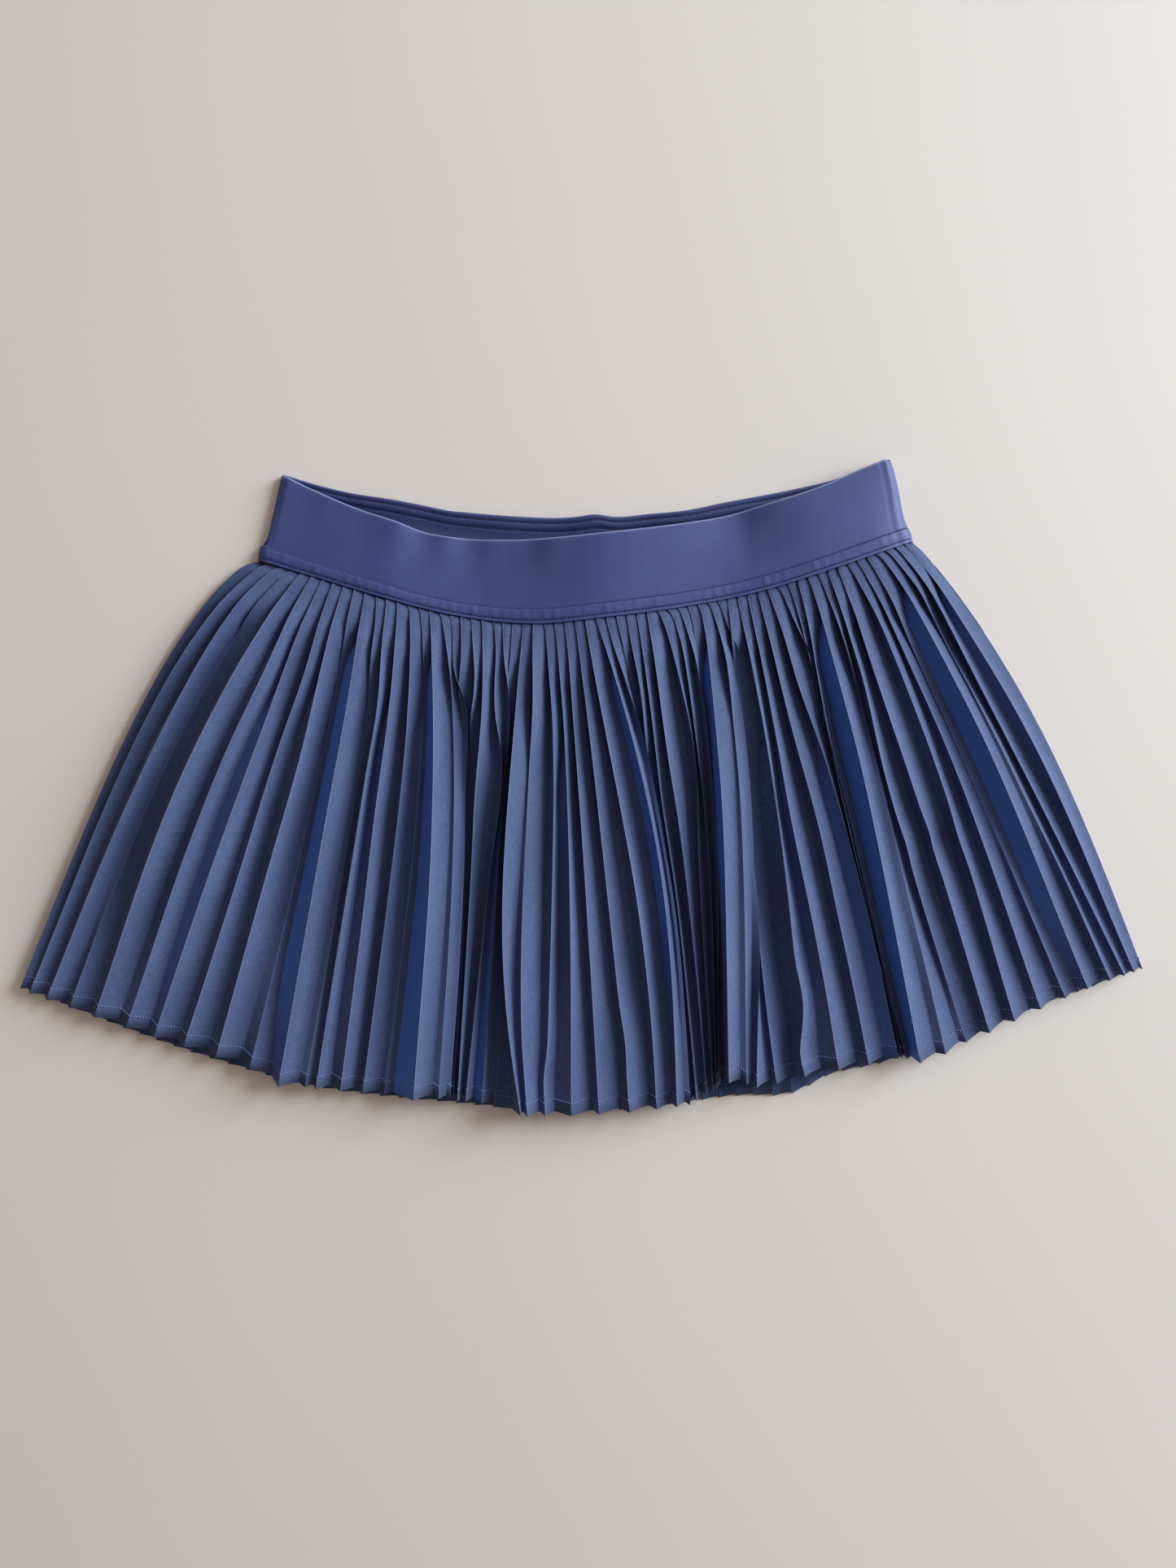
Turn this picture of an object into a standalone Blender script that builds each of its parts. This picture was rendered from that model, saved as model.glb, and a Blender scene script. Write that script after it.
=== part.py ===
"""A pleated tennis skirt laid flat.

Two knife-pleated panels lie one on the other below a wide elastic waistband, which is cut as a front and a
back piece. The front panel falls into a few large folds, whose edges stand up beside narrow deep gaps. Each
panel carries 64 pleats, closed along the waist seam and fanned out at the hem.

Lengths are millimetres in the tables and are turned into metres when a mesh is made. X runs along the waist,
Y from the hem to the waist, and Z is up from the surface that the skirt lies on.
"""

import math

import bpy
import numpy as np

MM = 0.001
UP = np.array([0.0, 0.0, 1.0])

# Cloth
PANEL_WALL = 1.0
BAND_WALL = 2.0
SEAM_GAP = 0.3

# Pleats, the same on both panels
PLEATS = 64
FACE_WIDTH = 13.5
RETURN_WIDTH = 7.1
# Lowest ridge, highest ridge for a pitch of 1, and the most of its pitch that a wide face spans
LEAST_RIDGE = 1.5
MOST_RIDGE = 0.42
MOST_REACH = 0.8
# How far the wall's underside reaches below a valley of the front panel
VALLEY_DEPTH = 1.6
# Bends of a section, in radians, between which the pleats inside the bend lose their height
LEAST_BEND = 0.25
MOST_BEND = 0.9
# Least spread of a corner's offset, which keeps the wall even where a section turns sharply
LEAST_SPREAD = 0.75
# The pleats are a little wider at the left of the seam than at its right
SEAM_CROWDING = 0.06
# Share of a pleat's length over which its direction is measured
PROBE = 0.02

# The back panel is pressed by the front one, so its pleats are low, with a flat strip under each
BACK_RIDGE_SEAM = 1.6
BACK_RIDGE_HEM = 3.2
# Shares of the pitch at which the flat strip ends and the fold's top lies
BACK_FLAT = 0.34
BACK_TOP = 0.8
# The outermost pleats of a panel lie thinner: over how many, and down to what share
EDGE_PLEATS = 2.5
EDGE_SHARE = 0.5

# Waistband
BAND_END_RADIUS = 2.5
END_TURNS = (90.0, 60.0, 30.0)
# The lower strip of the band, with the seam allowance inside, begins at this share of the band's height
STRIP_SHARE = 0.83
STRIP_RELIEF = 0.6
STRIP_STEP = 0.02
BAND_ROWS = (0.0, 0.04, 0.34, 0.63, STRIP_SHARE - STRIP_STEP, STRIP_SHARE, 0.9, 1.0)
BAND_COLUMNS = 40
# How strongly the columns crowd towards the ends, and the share over which the front flattens there
END_CROWDING = 0.08
END_FLATTENING = 0.02

# Rows of a panel, from the seam (0) to the hem (1)
PANEL_ROWS = (0.0, 0.05, 0.14, 0.28, 0.46, 0.66, 0.84, 1.0)
HALFWAY = 0.45
SEAM_LIFT_GONE_AT = 0.35

# Edges that bend more than this, in degrees, look sharp
SHARP_FROM = 30.0

# The middle of the laid-out skirt, measured like the tables below
MIDDLE = (-1.86, -1.25)

# Seam between band and panels: x, y
SEAM = (
    (-201.9, 135.8),
    (-160.0, 123.2),
    (-130.0, 114.2),
    (-80.4, 102.1),
    (-29.4, 97.2),
    (8.7, 100.7),
    (62.6, 108.1),
    (112.7, 118.6),
    (154.5, 131.7),
    (198.9, 147.2),
)

# Top edge of the front band: x, y, lift above the flat band
FRONT_TOP = (
    (-187.0, 188.0, 0.0),
    (-175.3, 182.3, 3.0),
    (-159.1, 174.9, 5.0),
    (-141.4, 167.6, 4.5),
    (-118.5, 159.9, 5.5),
    (-100.9, 153.6, 5.0),
    (-87.4, 151.0, 6.0),
    (-69.1, 149.3, 7.2),
    (-46.9, 148.7, 7.4),
    (-28.7, 149.1, 8.2),
    (15.9, 152.8, 9.0),
    (60.1, 158.8, 8.6),
    (82.8, 163.0, 7.5),
    (104.9, 168.8, 7.4),
    (127.6, 175.2, 7.8),
    (145.5, 181.4, 6.5),
    (161.9, 188.6, 3.5),
    (184.0, 197.4, 0.0),
)

# Top edge of the back band: x, y
BACK_TOP_EDGE = (
    (-187.0, 189.2),
    (-165.3, 182.5),
    (-145.9, 177.8),
    (-119.9, 173.8),
    (-97.5, 169.3),
    (-74.5, 165.8),
    (-45.1, 163.6),
    (-6.7, 163.2),
    (16.2, 163.6),
    (61.1, 167.3),
    (84.0, 172.0),
    (129.4, 180.8),
    (151.8, 186.2),
    (174.8, 194.7),
    (184.5, 198.7),
)

# Ends of the band: share of its height from the top edge, x at the left end, x at the right end
BAND_ENDS = (
    (0.0, -187.4, 184.7),
    (0.04, -188.0, 186.0),
    (0.34, -191.4, 190.0),
    (0.63, -195.0, 192.6),
    (STRIP_SHARE - STRIP_STEP, -197.4, 195.0),
    (STRIP_SHARE, -200.6, 196.6),
    (0.9, -201.6, 198.0),
    (1.0, -201.9, 198.9),
)

# Lift of the front seam above its ends: share of the waist, lift
SEAM_LIFT = ((0.0, 0.0), (0.15, 1.8), (0.4, 3.2), (0.65, 3.4), (0.88, 1.8), (1.0, 0.0))

# Folds of the front panel: pleat, x and y at the hem, sideways bow and where it is widest, lift halfway
# down and lift at the hem
FRONT_FOLDS = (
    (0.0, -342.5, -125.9, -19.0, 0.30, 0.0, 0.0),
    (1.6, -315.2, -135.0, -16.5, 0.32, 4.0, 1.0),
    (2.9, -293.2, -142.5, -14.5, 0.33, 4.5, 1.5),
    (4.0, -276.3, -148.9, -11.5, 0.36, 0.5, 2.5),
    (8.0, -209.1, -168.7, -3.0, 0.40, 2.5, 1.5),
    (11.0, -171.0, -182.7, 8.0, 0.40, 5.5, 5.0),
    (12.2, -166.0, -181.5, 7.0, 0.40, 1.0, 1.0),
    (15.0, -124.0, -187.5, 2.0, 0.50, 2.0, 2.5),
    (17.9, -84.9, -189.1, 9.0, 0.50, 7.0, 7.0),
    (19.4, -82.0, -189.6, 6.0, 0.50, 1.0, 1.0),
    (25.3, -35.9, -191.4, -10.0, 0.55, 1.0, 1.0),
    (27.0, -41.2, -199.3, -16.0, 0.55, 9.0, 9.5),
    (28.1, -24.5, -199.8, -13.0, 0.55, 6.5, 7.0),
    (30.2, 9.5, -198.4, -2.0, 0.50, 4.5, 4.5),
    (33.8, 58.5, -193.0, 9.5, 0.60, 7.5, 8.0),
    (35.5, 54.2, -190.4, 5.0, 0.60, 1.0, 1.0),
    (41.5, 88.0, -184.5, 0.0, 0.50, 1.0, 1.0),
    (43.2, 82.4, -180.8, -3.5, 0.40, 8.5, 8.5),
    (44.2, 98.0, -181.2, -3.0, 0.40, 6.5, 6.5),
    (46.5, 131.6, -177.3, 0.0, 0.50, 3.0, 3.0),
    (50.0, 180.5, -164.7, -2.0, 0.50, 1.5, 1.5),
    (52.4, 203.5, -162.0, -2.0, 0.50, 1.0, 1.0),
    (54.2, 198.0, -167.3, 5.0, 0.60, 8.5, 9.0),
    (55.2, 213.5, -163.5, 5.5, 0.60, 6.0, 6.5),
    (57.0, 242.6, -148.5, 7.5, 0.50, 3.5, 3.5),
    (60.2, 291.0, -129.2, 11.5, 0.45, 3.0, 2.5),
    (61.3, 303.6, -124.5, 12.0, 0.44, 6.5, 3.5),
    (62.4, 315.5, -120.0, 12.5, 0.43, 1.0, 1.0),
    (64.0, 338.4, -113.0, 14.5, 0.42, 0.0, 0.0),
)

# Folds of the back panel, which lies flat: the same columns
BACK_FOLDS = (
    (0.0, -343.5, -126.6, -19.0, 0.30, 0.0, 0.0),
    (8.0, -265.2, -157.1, -14.0, 0.36, 0.0, 0.0),
    (16.0, -174.5, -184.5, -6.0, 0.40, 0.0, 0.0),
    (24.0, -80.9, -196.0, 0.0, 0.50, 0.0, 0.0),
    (32.0, 8.7, -200.9, 0.0, 0.50, 0.0, 0.0),
    (40.0, 90.9, -191.5, 2.0, 0.50, 0.0, 0.0),
    (43.6, 131.5, -187.8, 4.0, 0.48, 0.0, 0.0),
    (44.6, 141.5, -181.5, 4.5, 0.48, 0.0, 0.0),
    (48.0, 178.0, -172.0, 6.0, 0.45, 0.0, 0.0),
    (56.0, 260.2, -142.7, 11.0, 0.42, 0.0, 0.0),
    (64.0, 339.2, -113.4, 14.5, 0.42, 0.0, 0.0),
)

# Colours from the cloth: sRGB red, green and blue, and roughness
PLEAT_CLOTH = ((0.25, 0.35, 0.57), 0.85)
BAND_CLOTH = ((0.30, 0.34, 0.53), 0.7)


def clear_scene():
    for thing in list(bpy.data.objects):
        bpy.data.objects.remove(thing, do_unlink=True)


def linear(channel):
    """An sRGB channel, 0 to 1, as linear light."""
    if channel <= 0.04045:
        return channel / 12.92
    return ((channel + 0.055) / 1.055) ** 2.4


def cloth_material(name, look):
    colour, roughness = look
    material = bpy.data.materials.new(name)
    material.use_nodes = True
    shader = material.node_tree.nodes["Principled BSDF"]
    shader.inputs["Base Color"].default_value = [linear(c) for c in colour] + [1.0]
    shader.inputs["Roughness"].default_value = roughness
    shader.inputs["Metallic"].default_value = 0.0
    return material


def smooth(keys, values, at):
    """A smooth curve through the values: cubic pieces whose slopes come from the neighbouring keys."""
    keys = np.asarray(keys, float)
    values = np.asarray(values, float)
    at = np.asarray(at, float)
    slopes = np.gradient(values, keys)
    piece = np.clip(np.searchsorted(keys, at, side="right") - 1, 0, len(keys) - 2)
    span = keys[piece + 1] - keys[piece]
    t = (at - keys[piece]) / span
    start = (1 + 2 * t) * (1 - t) ** 2 * values[piece] + t * (1 - t) ** 2 * span * slopes[piece]
    end = t * t * (3 - 2 * t) * values[piece + 1] - t * t * (1 - t) * span * slopes[piece + 1]
    return start + end


def column(table, index):
    return np.array([row[index] for row in table], float)


def ease(t):
    """0 to 1 with level ends."""
    t = np.clip(t, 0.0, 1.0)
    return t * t * (3 - 2 * t)


def seam_place(share):
    """A point of the seam in plan, for a share of the waist from the left end."""
    x = SEAM[0][0] + (SEAM[-1][0] - SEAM[0][0]) * np.asarray(share, float)
    y = smooth(column(SEAM, 0), column(SEAM, 1), x)
    return np.stack([x, y, np.zeros_like(x)], axis=-1)


def pleat_share(pleat):
    """The share of the waist at a pleat: the pleats are a little wider at the left."""
    t = np.asarray(pleat, float) / PLEATS
    return t + SEAM_CROWDING * t * (1 - t)


def seam_lift(share):
    """How far the front seam stands above its ends."""
    return smooth(column(SEAM_LIFT, 0), column(SEAM_LIFT, 1), share)


def edge_taper(pleat):
    """1 over most of a panel, less over the first and last pleats, which lie thinner."""
    from_edge = np.minimum(pleat, PLEATS - np.asarray(pleat, float)) / EDGE_PLEATS
    return EDGE_SHARE + (1 - EDGE_SHARE) * ease(from_edge)


def back_ridge(pleat, down):
    """Height of the back panel's pleats."""
    return (BACK_RIDGE_SEAM + (BACK_RIDGE_HEM - BACK_RIDGE_SEAM) * down) * edge_taper(pleat)


def back_base(pleat, down):
    """Lines along which the back pleats lie, on the surface."""
    return folded(BACK_FOLDS, pleat, down)


def front_base(pleat, down):
    """Lines along which the front pleats' valleys lie, just above the back panel."""
    points = folded(FRONT_FOLDS, pleat, down)
    floor = back_ridge(pleat, down) + PANEL_WALL + SEAM_GAP + VALLEY_DEPTH
    waist = seam_lift(pleat_share(pleat)) * (1 - ease(down / SEAM_LIFT_GONE_AT))
    points[:, 2] = floor + waist + np.maximum(points[:, 2], 0.0)
    return points


def folded(folds, pleat, down):
    """Points of a panel at a share of the way down from the seam, as its table of folds lays them."""
    keys = column(folds, 0)
    top = seam_place(pleat_share(keys))
    away = np.stack([column(folds, 1), column(folds, 2)], axis=-1) - top[:, :2]
    length = np.linalg.norm(away, axis=1, keepdims=True)
    sideways = np.stack([-away[:, 1], away[:, 0]], axis=-1) / length
    widest = np.log(0.5) / np.log(column(folds, 4))
    bow = column(folds, 3) * np.sin(math.pi * down**widest)
    shift = away * down + sideways * bow[:, None]
    halfway, at_hem = column(folds, 5), column(folds, 6)
    lift = halfway * ease(down / HALFWAY) + (at_hem - halfway) * ease((down - HALFWAY) / (1 - HALFWAY))
    points = seam_place(pleat_share(pleat))
    points[:, 0] += smooth(keys, shift[:, 0], pleat)
    points[:, 1] += smooth(keys, shift[:, 1], pleat)
    points[:, 2] += smooth(keys, lift, pleat)
    return points


def unit(vectors):
    return vectors / np.linalg.norm(vectors, axis=-1, keepdims=True)


def across(base, pleats, down):
    """Unit vectors in plan, at right angles to the pleats, pointing to the right."""
    low = max(down - PROBE, 0.0)
    high = min(down + PROBE, 1.0)
    along = unit((base(pleats, high) - base(pleats, low))[:, :2])
    return np.stack([-along[:, 1], along[:, 0], np.zeros(len(along))], axis=-1)


def pleat_reach(pitch):
    """How far a pleat's wide face reaches, and its height, for the distance from pleat to pleat."""
    reach = (FACE_WIDTH**2 - RETURN_WIDTH**2 + pitch**2) / (2 * pitch)
    height = np.sqrt(np.maximum(FACE_WIDTH**2 - reach**2, 0.0))
    height = np.minimum(np.maximum(height, LEAST_RIDGE), MOST_RIDGE * pitch)
    return np.minimum(reach / pitch, MOST_REACH), height


def front_pleat(pitch, number, _down):
    """Share of the pitch and height of each corner of a front pleat: its ridge, then its valley."""
    nothing = np.zeros_like(pitch)
    share, height = pleat_reach(pitch)
    return ((nothing, height * (number > 0)), (share, nothing))


def back_pleat(pitch, number, down):
    """The same for a back pleat: the ends of the flat strip on the surface, then the fold's top."""
    nothing = np.zeros_like(pitch)
    height = back_ridge(number + BACK_TOP, down)
    return ((nothing, nothing), (nothing + BACK_FLAT, nothing), (nothing + BACK_TOP, height))


def inside_bend(level, rise):
    """1 where the section runs on or bends down, falling to 0 where it bends sharply up."""
    heading = np.unwrap(np.arctan2(rise, level))
    bend = np.diff(heading, prepend=heading[0])
    return 1 - ease((bend - LEAST_BEND) / (MOST_BEND - LEAST_BEND))


def pleated_row(base, pleat_corners, down):
    """One section of a pleated panel: its outer points, and the direction across the pleats at each."""
    numbers = np.arange(PLEATS + 1, dtype=float)
    line = base(numbers, down)
    right = across(base, numbers, down)
    step = line[1:] - line[:-1]
    level = np.sum(step * right[:-1], axis=1)
    rise = step[:, 2]
    pitch = np.hypot(level, rise)
    up = (-rise[:, None] * right[:-1] + level[:, None] * UP) / pitch[:, None]
    room = inside_bend(level, rise)
    corners = pleat_corners(pitch, numbers[:-1], down)
    points = []
    for share, height in corners:
        points.append(line[:-1] + step * share[:, None] + up * (height * room)[:, None])
    row = np.stack(points, axis=1).reshape(-1, 3)
    row = np.vstack([row, line[-1]])
    sideways = np.vstack([np.repeat(right[:-1], len(corners), axis=0), right[-1]])
    return row, sideways


def wall_row(row, sideways, wall):
    """The same section moved by the wall's thickness, keeping the wall even at its corners."""
    step = row[1:] - row[:-1]
    side = unit(sideways[1:] + sideways[:-1])
    level = np.sum(step * side, axis=1)
    normal = unit(-step[:, 2:] * side + level[:, None] * UP)
    before = np.vstack([normal[:1], normal])
    after = np.vstack([normal, normal[-1:]])
    spread = np.maximum(1 + np.sum(before * after, axis=1, keepdims=True), LEAST_SPREAD)
    return row + wall * (before + after) / spread


def grid_body(name, upper, lower, material, group):
    """A closed body between two lofted surfaces with the same rows and columns."""
    rows, columns = upper.shape[:2]
    points = np.concatenate([upper.reshape(-1, 3), lower.reshape(-1, 3)]) * MM
    points[:, 0] -= MIDDLE[0] * MM
    points[:, 1] -= MIDDLE[1] * MM
    faces = []
    below = rows * columns
    for r in range(rows - 1):
        for c in range(columns - 1):
            a = r * columns + c
            b, d = a + 1, a + columns
            faces.append((a, d, d + 1, b))
            faces.append((below + a, below + b, below + d + 1, below + d))
    for r in range(rows - 1):
        left, right = r * columns, r * columns + columns - 1
        faces.append((left, below + left, below + left + columns, left + columns))
        faces.append((right, right + columns, below + right + columns, below + right))
    for c in range(columns - 1):
        top, foot = c, (rows - 1) * columns + c
        faces.append((top, top + 1, below + top + 1, below + top))
        faces.append((foot, below + foot, below + foot + 1, foot + 1))
    mesh = bpy.data.meshes.new(name)
    mesh.from_pydata(points.tolist(), [], faces)
    mesh.validate()
    mesh.shade_smooth()
    mesh.set_sharp_from_angle(angle=math.radians(SHARP_FROM))
    mesh.materials.append(material)
    group.objects.link(bpy.data.objects.new(name, mesh))


def panel(name, base, pleat_corners, facing, material, group):
    """A pleated panel, lofted through its rows: facing is 1 for the front, -1 for the back."""
    outer, inner = [], []
    for down in PANEL_ROWS:
        row, sideways = pleated_row(base, pleat_corners, down)
        outer.append(row)
        inner.append(wall_row(row, sideways, -facing * PANEL_WALL))
    closed_body(name, np.array(outer), np.array(inner), facing, material, group)


def closed_body(name, outer, inner, facing, material, group):
    """A body whose outer side looks up on the front pieces and down on the back pieces."""
    if facing > 0:
        grid_body(name, outer, inner, material, group)
    else:
        grid_body(name, inner, outer, material, group)


def band_shares():
    """Shares of the waist for the band's columns, closer together near its ends."""
    t = np.linspace(0.0, 1.0, BAND_COLUMNS + 1)
    return t - END_CROWDING * np.sin(2 * math.pi * t) / (2 * math.pi)


def band_lift(share, fall):
    """How far the front band stands above its flat ends, with the stitched strip a little thicker."""
    x = FRONT_TOP[0][0] + (FRONT_TOP[-1][0] - FRONT_TOP[0][0]) * share
    top = smooth(column(FRONT_TOP, 0), column(FRONT_TOP, 2), x)
    lift = np.maximum(top * (1 - fall) + seam_lift(share) * fall, 0.0)
    ends = ease(np.minimum(share, 1 - share) / END_FLATTENING)
    relief = STRIP_RELIEF * ease((fall - STRIP_SHARE + STRIP_STEP) / STRIP_STEP)
    return (lift + relief) * ends


def band_row(edge, fall, facing, inset):
    """One row of a band's surface, set in from its outside: facing is 1 for the front, -1 for the back."""
    share = band_shares()
    x_top = edge[0][0] + (edge[-1][0] - edge[0][0]) * share
    y_top = smooth(column(edge, 0), column(edge, 1), x_top)
    foot = seam_place(share)
    row = np.zeros((len(share), 3))
    left = np.interp(fall, column(BAND_ENDS, 0), column(BAND_ENDS, 1))
    right = np.interp(fall, column(BAND_ENDS, 0), column(BAND_ENDS, 2))
    row[:, 0] = left + BAND_END_RADIUS + (right - left - 2 * BAND_END_RADIUS) * share
    row[:, 1] = y_top + (foot[:, 1] + SEAM_GAP - y_top) * fall
    radius = BAND_END_RADIUS - inset
    lift = band_lift(share, fall) if facing > 0 else np.zeros_like(share)
    row[:, 2] = BAND_END_RADIUS + facing * radius + lift
    turn = np.radians(END_TURNS)
    curls = []
    for end, side in ((row[0], -1.0), (row[-1], 1.0)):
        curl = np.repeat(end[None], len(turn), axis=0)
        curl[:, 0] += side * radius * np.sin(turn)
        curl[:, 2] = BAND_END_RADIUS + facing * np.maximum(radius * np.cos(turn), 0.5 * SEAM_GAP)
        curls.append(curl)
    return np.vstack([curls[0], row, curls[1][::-1]])


def band_piece(name, edge, facing, material, group):
    outer = np.array([band_row(edge, fall, facing, 0.0) for fall in BAND_ROWS])
    inner = np.array([band_row(edge, fall, facing, BAND_WALL) for fall in BAND_ROWS])
    closed_body(name, outer, inner, facing, material, group)


def main():
    clear_scene()
    group = bpy.data.collections.new("tennis_skirt")
    bpy.context.scene.collection.children.link(group)
    pleat_cloth = cloth_material("pleated woven polyester", PLEAT_CLOTH)
    band_cloth = cloth_material("double knit waistband", BAND_CLOTH)
    panel("skirt_front", front_base, front_pleat, 1, pleat_cloth, group)
    panel("skirt_back", back_base, back_pleat, -1, pleat_cloth, group)
    band_piece("waistband_front", FRONT_TOP, 1, band_cloth, group)
    band_piece("waistband_back", BACK_TOP_EDGE, -1, band_cloth, group)


main()
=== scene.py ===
"""A pleated tennis skirt laid flat: its cloth, seams and stitches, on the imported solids."""

import math
from functools import partial

import bpy
import numpy as np
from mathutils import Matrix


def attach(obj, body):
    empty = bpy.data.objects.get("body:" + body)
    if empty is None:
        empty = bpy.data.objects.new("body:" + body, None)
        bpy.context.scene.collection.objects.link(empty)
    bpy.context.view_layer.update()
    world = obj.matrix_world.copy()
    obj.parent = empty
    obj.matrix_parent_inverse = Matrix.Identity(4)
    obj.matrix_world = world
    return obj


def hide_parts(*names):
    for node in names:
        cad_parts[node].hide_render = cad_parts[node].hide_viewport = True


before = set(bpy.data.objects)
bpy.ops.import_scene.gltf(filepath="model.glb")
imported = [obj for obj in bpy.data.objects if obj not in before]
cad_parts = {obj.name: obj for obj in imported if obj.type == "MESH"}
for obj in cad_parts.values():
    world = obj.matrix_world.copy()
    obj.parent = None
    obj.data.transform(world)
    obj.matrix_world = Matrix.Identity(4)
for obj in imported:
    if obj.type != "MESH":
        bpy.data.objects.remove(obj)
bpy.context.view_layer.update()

# Lengths are in millimetres, and shares go from 0 to 1
MM = 0.001

# The photograph: seen from straight above its middle, at a scale of half a millimetre a pixel on the surface
PHOTO_HEIGHT = 1927
MM_A_PIXEL = 0.5
EYE_HEIGHT = 740.0

# The photograph's deep darks: light, and the light that is shown
TONE_CURVE = ((0.01, 0.0055), (0.028, 0.022), (0.075, 0.074), (0.3, 0.31))

# Where most of the light from all round comes from
BRIGHTEST_WAY = (0.8, 0.4, -0.45)

# Nodes that are used often
MATH = "ShaderNodeMath"
VECTOR_MATH = "ShaderNodeVectorMath"
MAP_RANGE = "ShaderNodeMapRange"
MIX = "ShaderNodeMix"
NOISE = "ShaderNodeTexNoise"
PRINCIPLED = "ShaderNodeBsdfPrincipled"

# Cloth, and the bend in degrees from which a fold is sharp
PANEL_CLOTH = 0.3
BAND_CLOTH = 2.0
SEAM_GAP = 0.3
PANEL_LENGTH = 300.0
SHARP_BEND = 50.0

# Pleats, the same on both panels
PLEATS = 64
FACE_WIDTH = 13.5
RETURN_WIDTH = 7.1
FACE_STEPS = 5
RETURN_STEPS = 4
PANEL_ROWS = 78
EVEN_ROWS = 0.55
CLOSE_ROWS = 0.45
CLOSENESS = 1.8
LEAST_RIDGE = 1.5
LEAST_OPEN = 6.2
RIDGE_SEAM = 1.9
RIDGE_OPEN = 7.6
OPEN_AT = 0.13
VALLEY_DEPTH = 1.6
PANEL_WALL = 1.0
LEAST_BEND = 0.6
MOST_BEND = 1.6
LEAST_ROOM = 0.3
SEAM_CROWDING = 0.06
BACK_RIDGE_SEAM = 1.6
BACK_RIDGE_HEM = 3.2
BACK_FACE_LIMIT = 2.5
EDGE_PLEATS = 2.5
EDGE_SHARE = 0.5
EDGE_CALM = 0.4
HALFWAY = 0.45
SEAM_LIFT_GONE_AT = 0.35
TUCK_DEPTH = 1.3
TUCK_GONE_AT = 0.025
SEWN_IN = 1.0
HEM_STITCHES_AT = 1 - 7.5 / PANEL_LENGTH
HEM_THREAD = 0.45
THREAD_RAISED = 0.1
LEAST_PITCH = 1.0

# Pleats stand lower where the cloth stands on edge: how far its outer side faces up where they are lowest and
# where they are full, the least share of their height, and how many pleats a face then covers at most, as a
# factor and what is added to it
SLOPE_LOWEST = 0.1
SLOPE_FULL = 0.75
SLOPE_LEAST = 0.12
FACE_REACH = (1.7, 0.7)

# Kinks reach this far sideways, in pleats; wide returns open and close over these shares of the way down; a
# flat ridge loses this share of its height
KINK_REACH = 0.6
OPENS_OVER = 0.16
CLOSES_OVER = 0.35
FLATTENED = 0.8

# Unevenness of the front panel: seed, amount, and the shares of the way down at which it is drawn. A pleat
# shows its own draw and its neighbours' in these shares
UNEVEN_SIDEWAYS = (3, 1.3, (0.0, 0.5, 1.0))
UNEVEN_LIFT = (5, 0.9, (0.0, 0.15, 0.5, 1.0))
UNEVEN_RIDGES = (7, 1.7, (0.0, 0.2, 0.5, 1.0))
UNEVEN_ARCH = (13, 0.12, (0.0, 0.2, 0.5, 1.0))
OWN_SHARE = 0.65
NEIGHBOUR_SHARE = 0.2

# Waistband
BAND_HEIGHT = 54.0
BAND_END_RADIUS = 2.5
END_TURNS = 6
FOLD_TURNS = 7
BAND_COLUMNS = 260
STRIP_HEIGHT = 9.2
LIP_HEIGHT = 2.2
STRIP_RELIEF = 0.6
STRIP_EDGE = 0.5
STRIP_RISE = 0.8
STRIP_PUFF = 0.25
STRIP_SHARE = 0.83
STRIP_STEP = 0.02
BUMP_BESIDE = 0.1
END_CROWDING = 0.08
END_FLATTENING = 0.006
FRONT_THREAD_RAISED = 0.15

# Rows of the bands: how many are plain, fine and hidden, and between which shares of the height they are fine
TOP_FOLD = BAND_CLOTH / 2 / BAND_HEIGHT
FINE_FROM = 1 - (STRIP_HEIGHT + 1.6) / BAND_HEIGHT
PLAIN_ROWS = 20
FINE_ROWS = 34
HIDDEN_ROWS = 16
BACK_FINE_TO = 0.24
BACK_PLAIN_ROWS = 12
BACK_FINE_ROWS = 40

# Pleats that show as bumps through the strip: seed, greatest height, half width as a share of the waist, and
# the distance from a stitched line at which they are full
PLEAT_BUMPS = (11, 0.35, 0.0035, 1.2)

# Grooves of the front band's stitched lines: height above the seam, depth and half width
FRONT_GROOVES = ((LIP_HEIGHT, 0.2, 0.5), (STRIP_HEIGHT, 0.35, 0.5))

# Grooves of the back band's stitched lines: distance from the top edge, depth and half width; and the ridge
# between them
BACK_GROOVES = ((2.8, 0.5, 0.6), (6.8, 0.5, 0.6))
BACK_RIDGE = (4.8, -0.2, 1.0)

# Crease at the right end of the band: share of the waist, depth, and half width as a share
SIDE_CREASE = (0.983, 0.3, 0.002)

# The middle of the laid-out skirt, measured like the tables below
MIDDLE = (-1.86, -1.25)

# Seam between band and panels: x, y
SEAM = (
    (-201.9, 135.8), (-160, 123.2), (-130, 114.2), (-80.4, 102.1), (-29.4, 97.2), (8.7, 100.7), (62.6, 108.1),
    (112.7, 118.6), (154.5, 131.7), (198.9, 147.2),
)

# Top edge of the front band: x, y
FRONT_TOP = (
    (-187, 188), (-175.3, 182.3), (-159.1, 174.9), (-141.4, 167.6), (-118.5, 159.9), (-100.9, 153.6),
    (-87.4, 151), (-69.1, 149.3), (-46.9, 148.7), (-28.7, 149.1), (15.9, 152.8), (60.1, 158.8), (82.8, 163),
    (104.9, 168.8), (127.6, 175.2), (145.5, 181.4), (161.9, 188.6), (176, 194.4), (184, 197.4),
)

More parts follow.
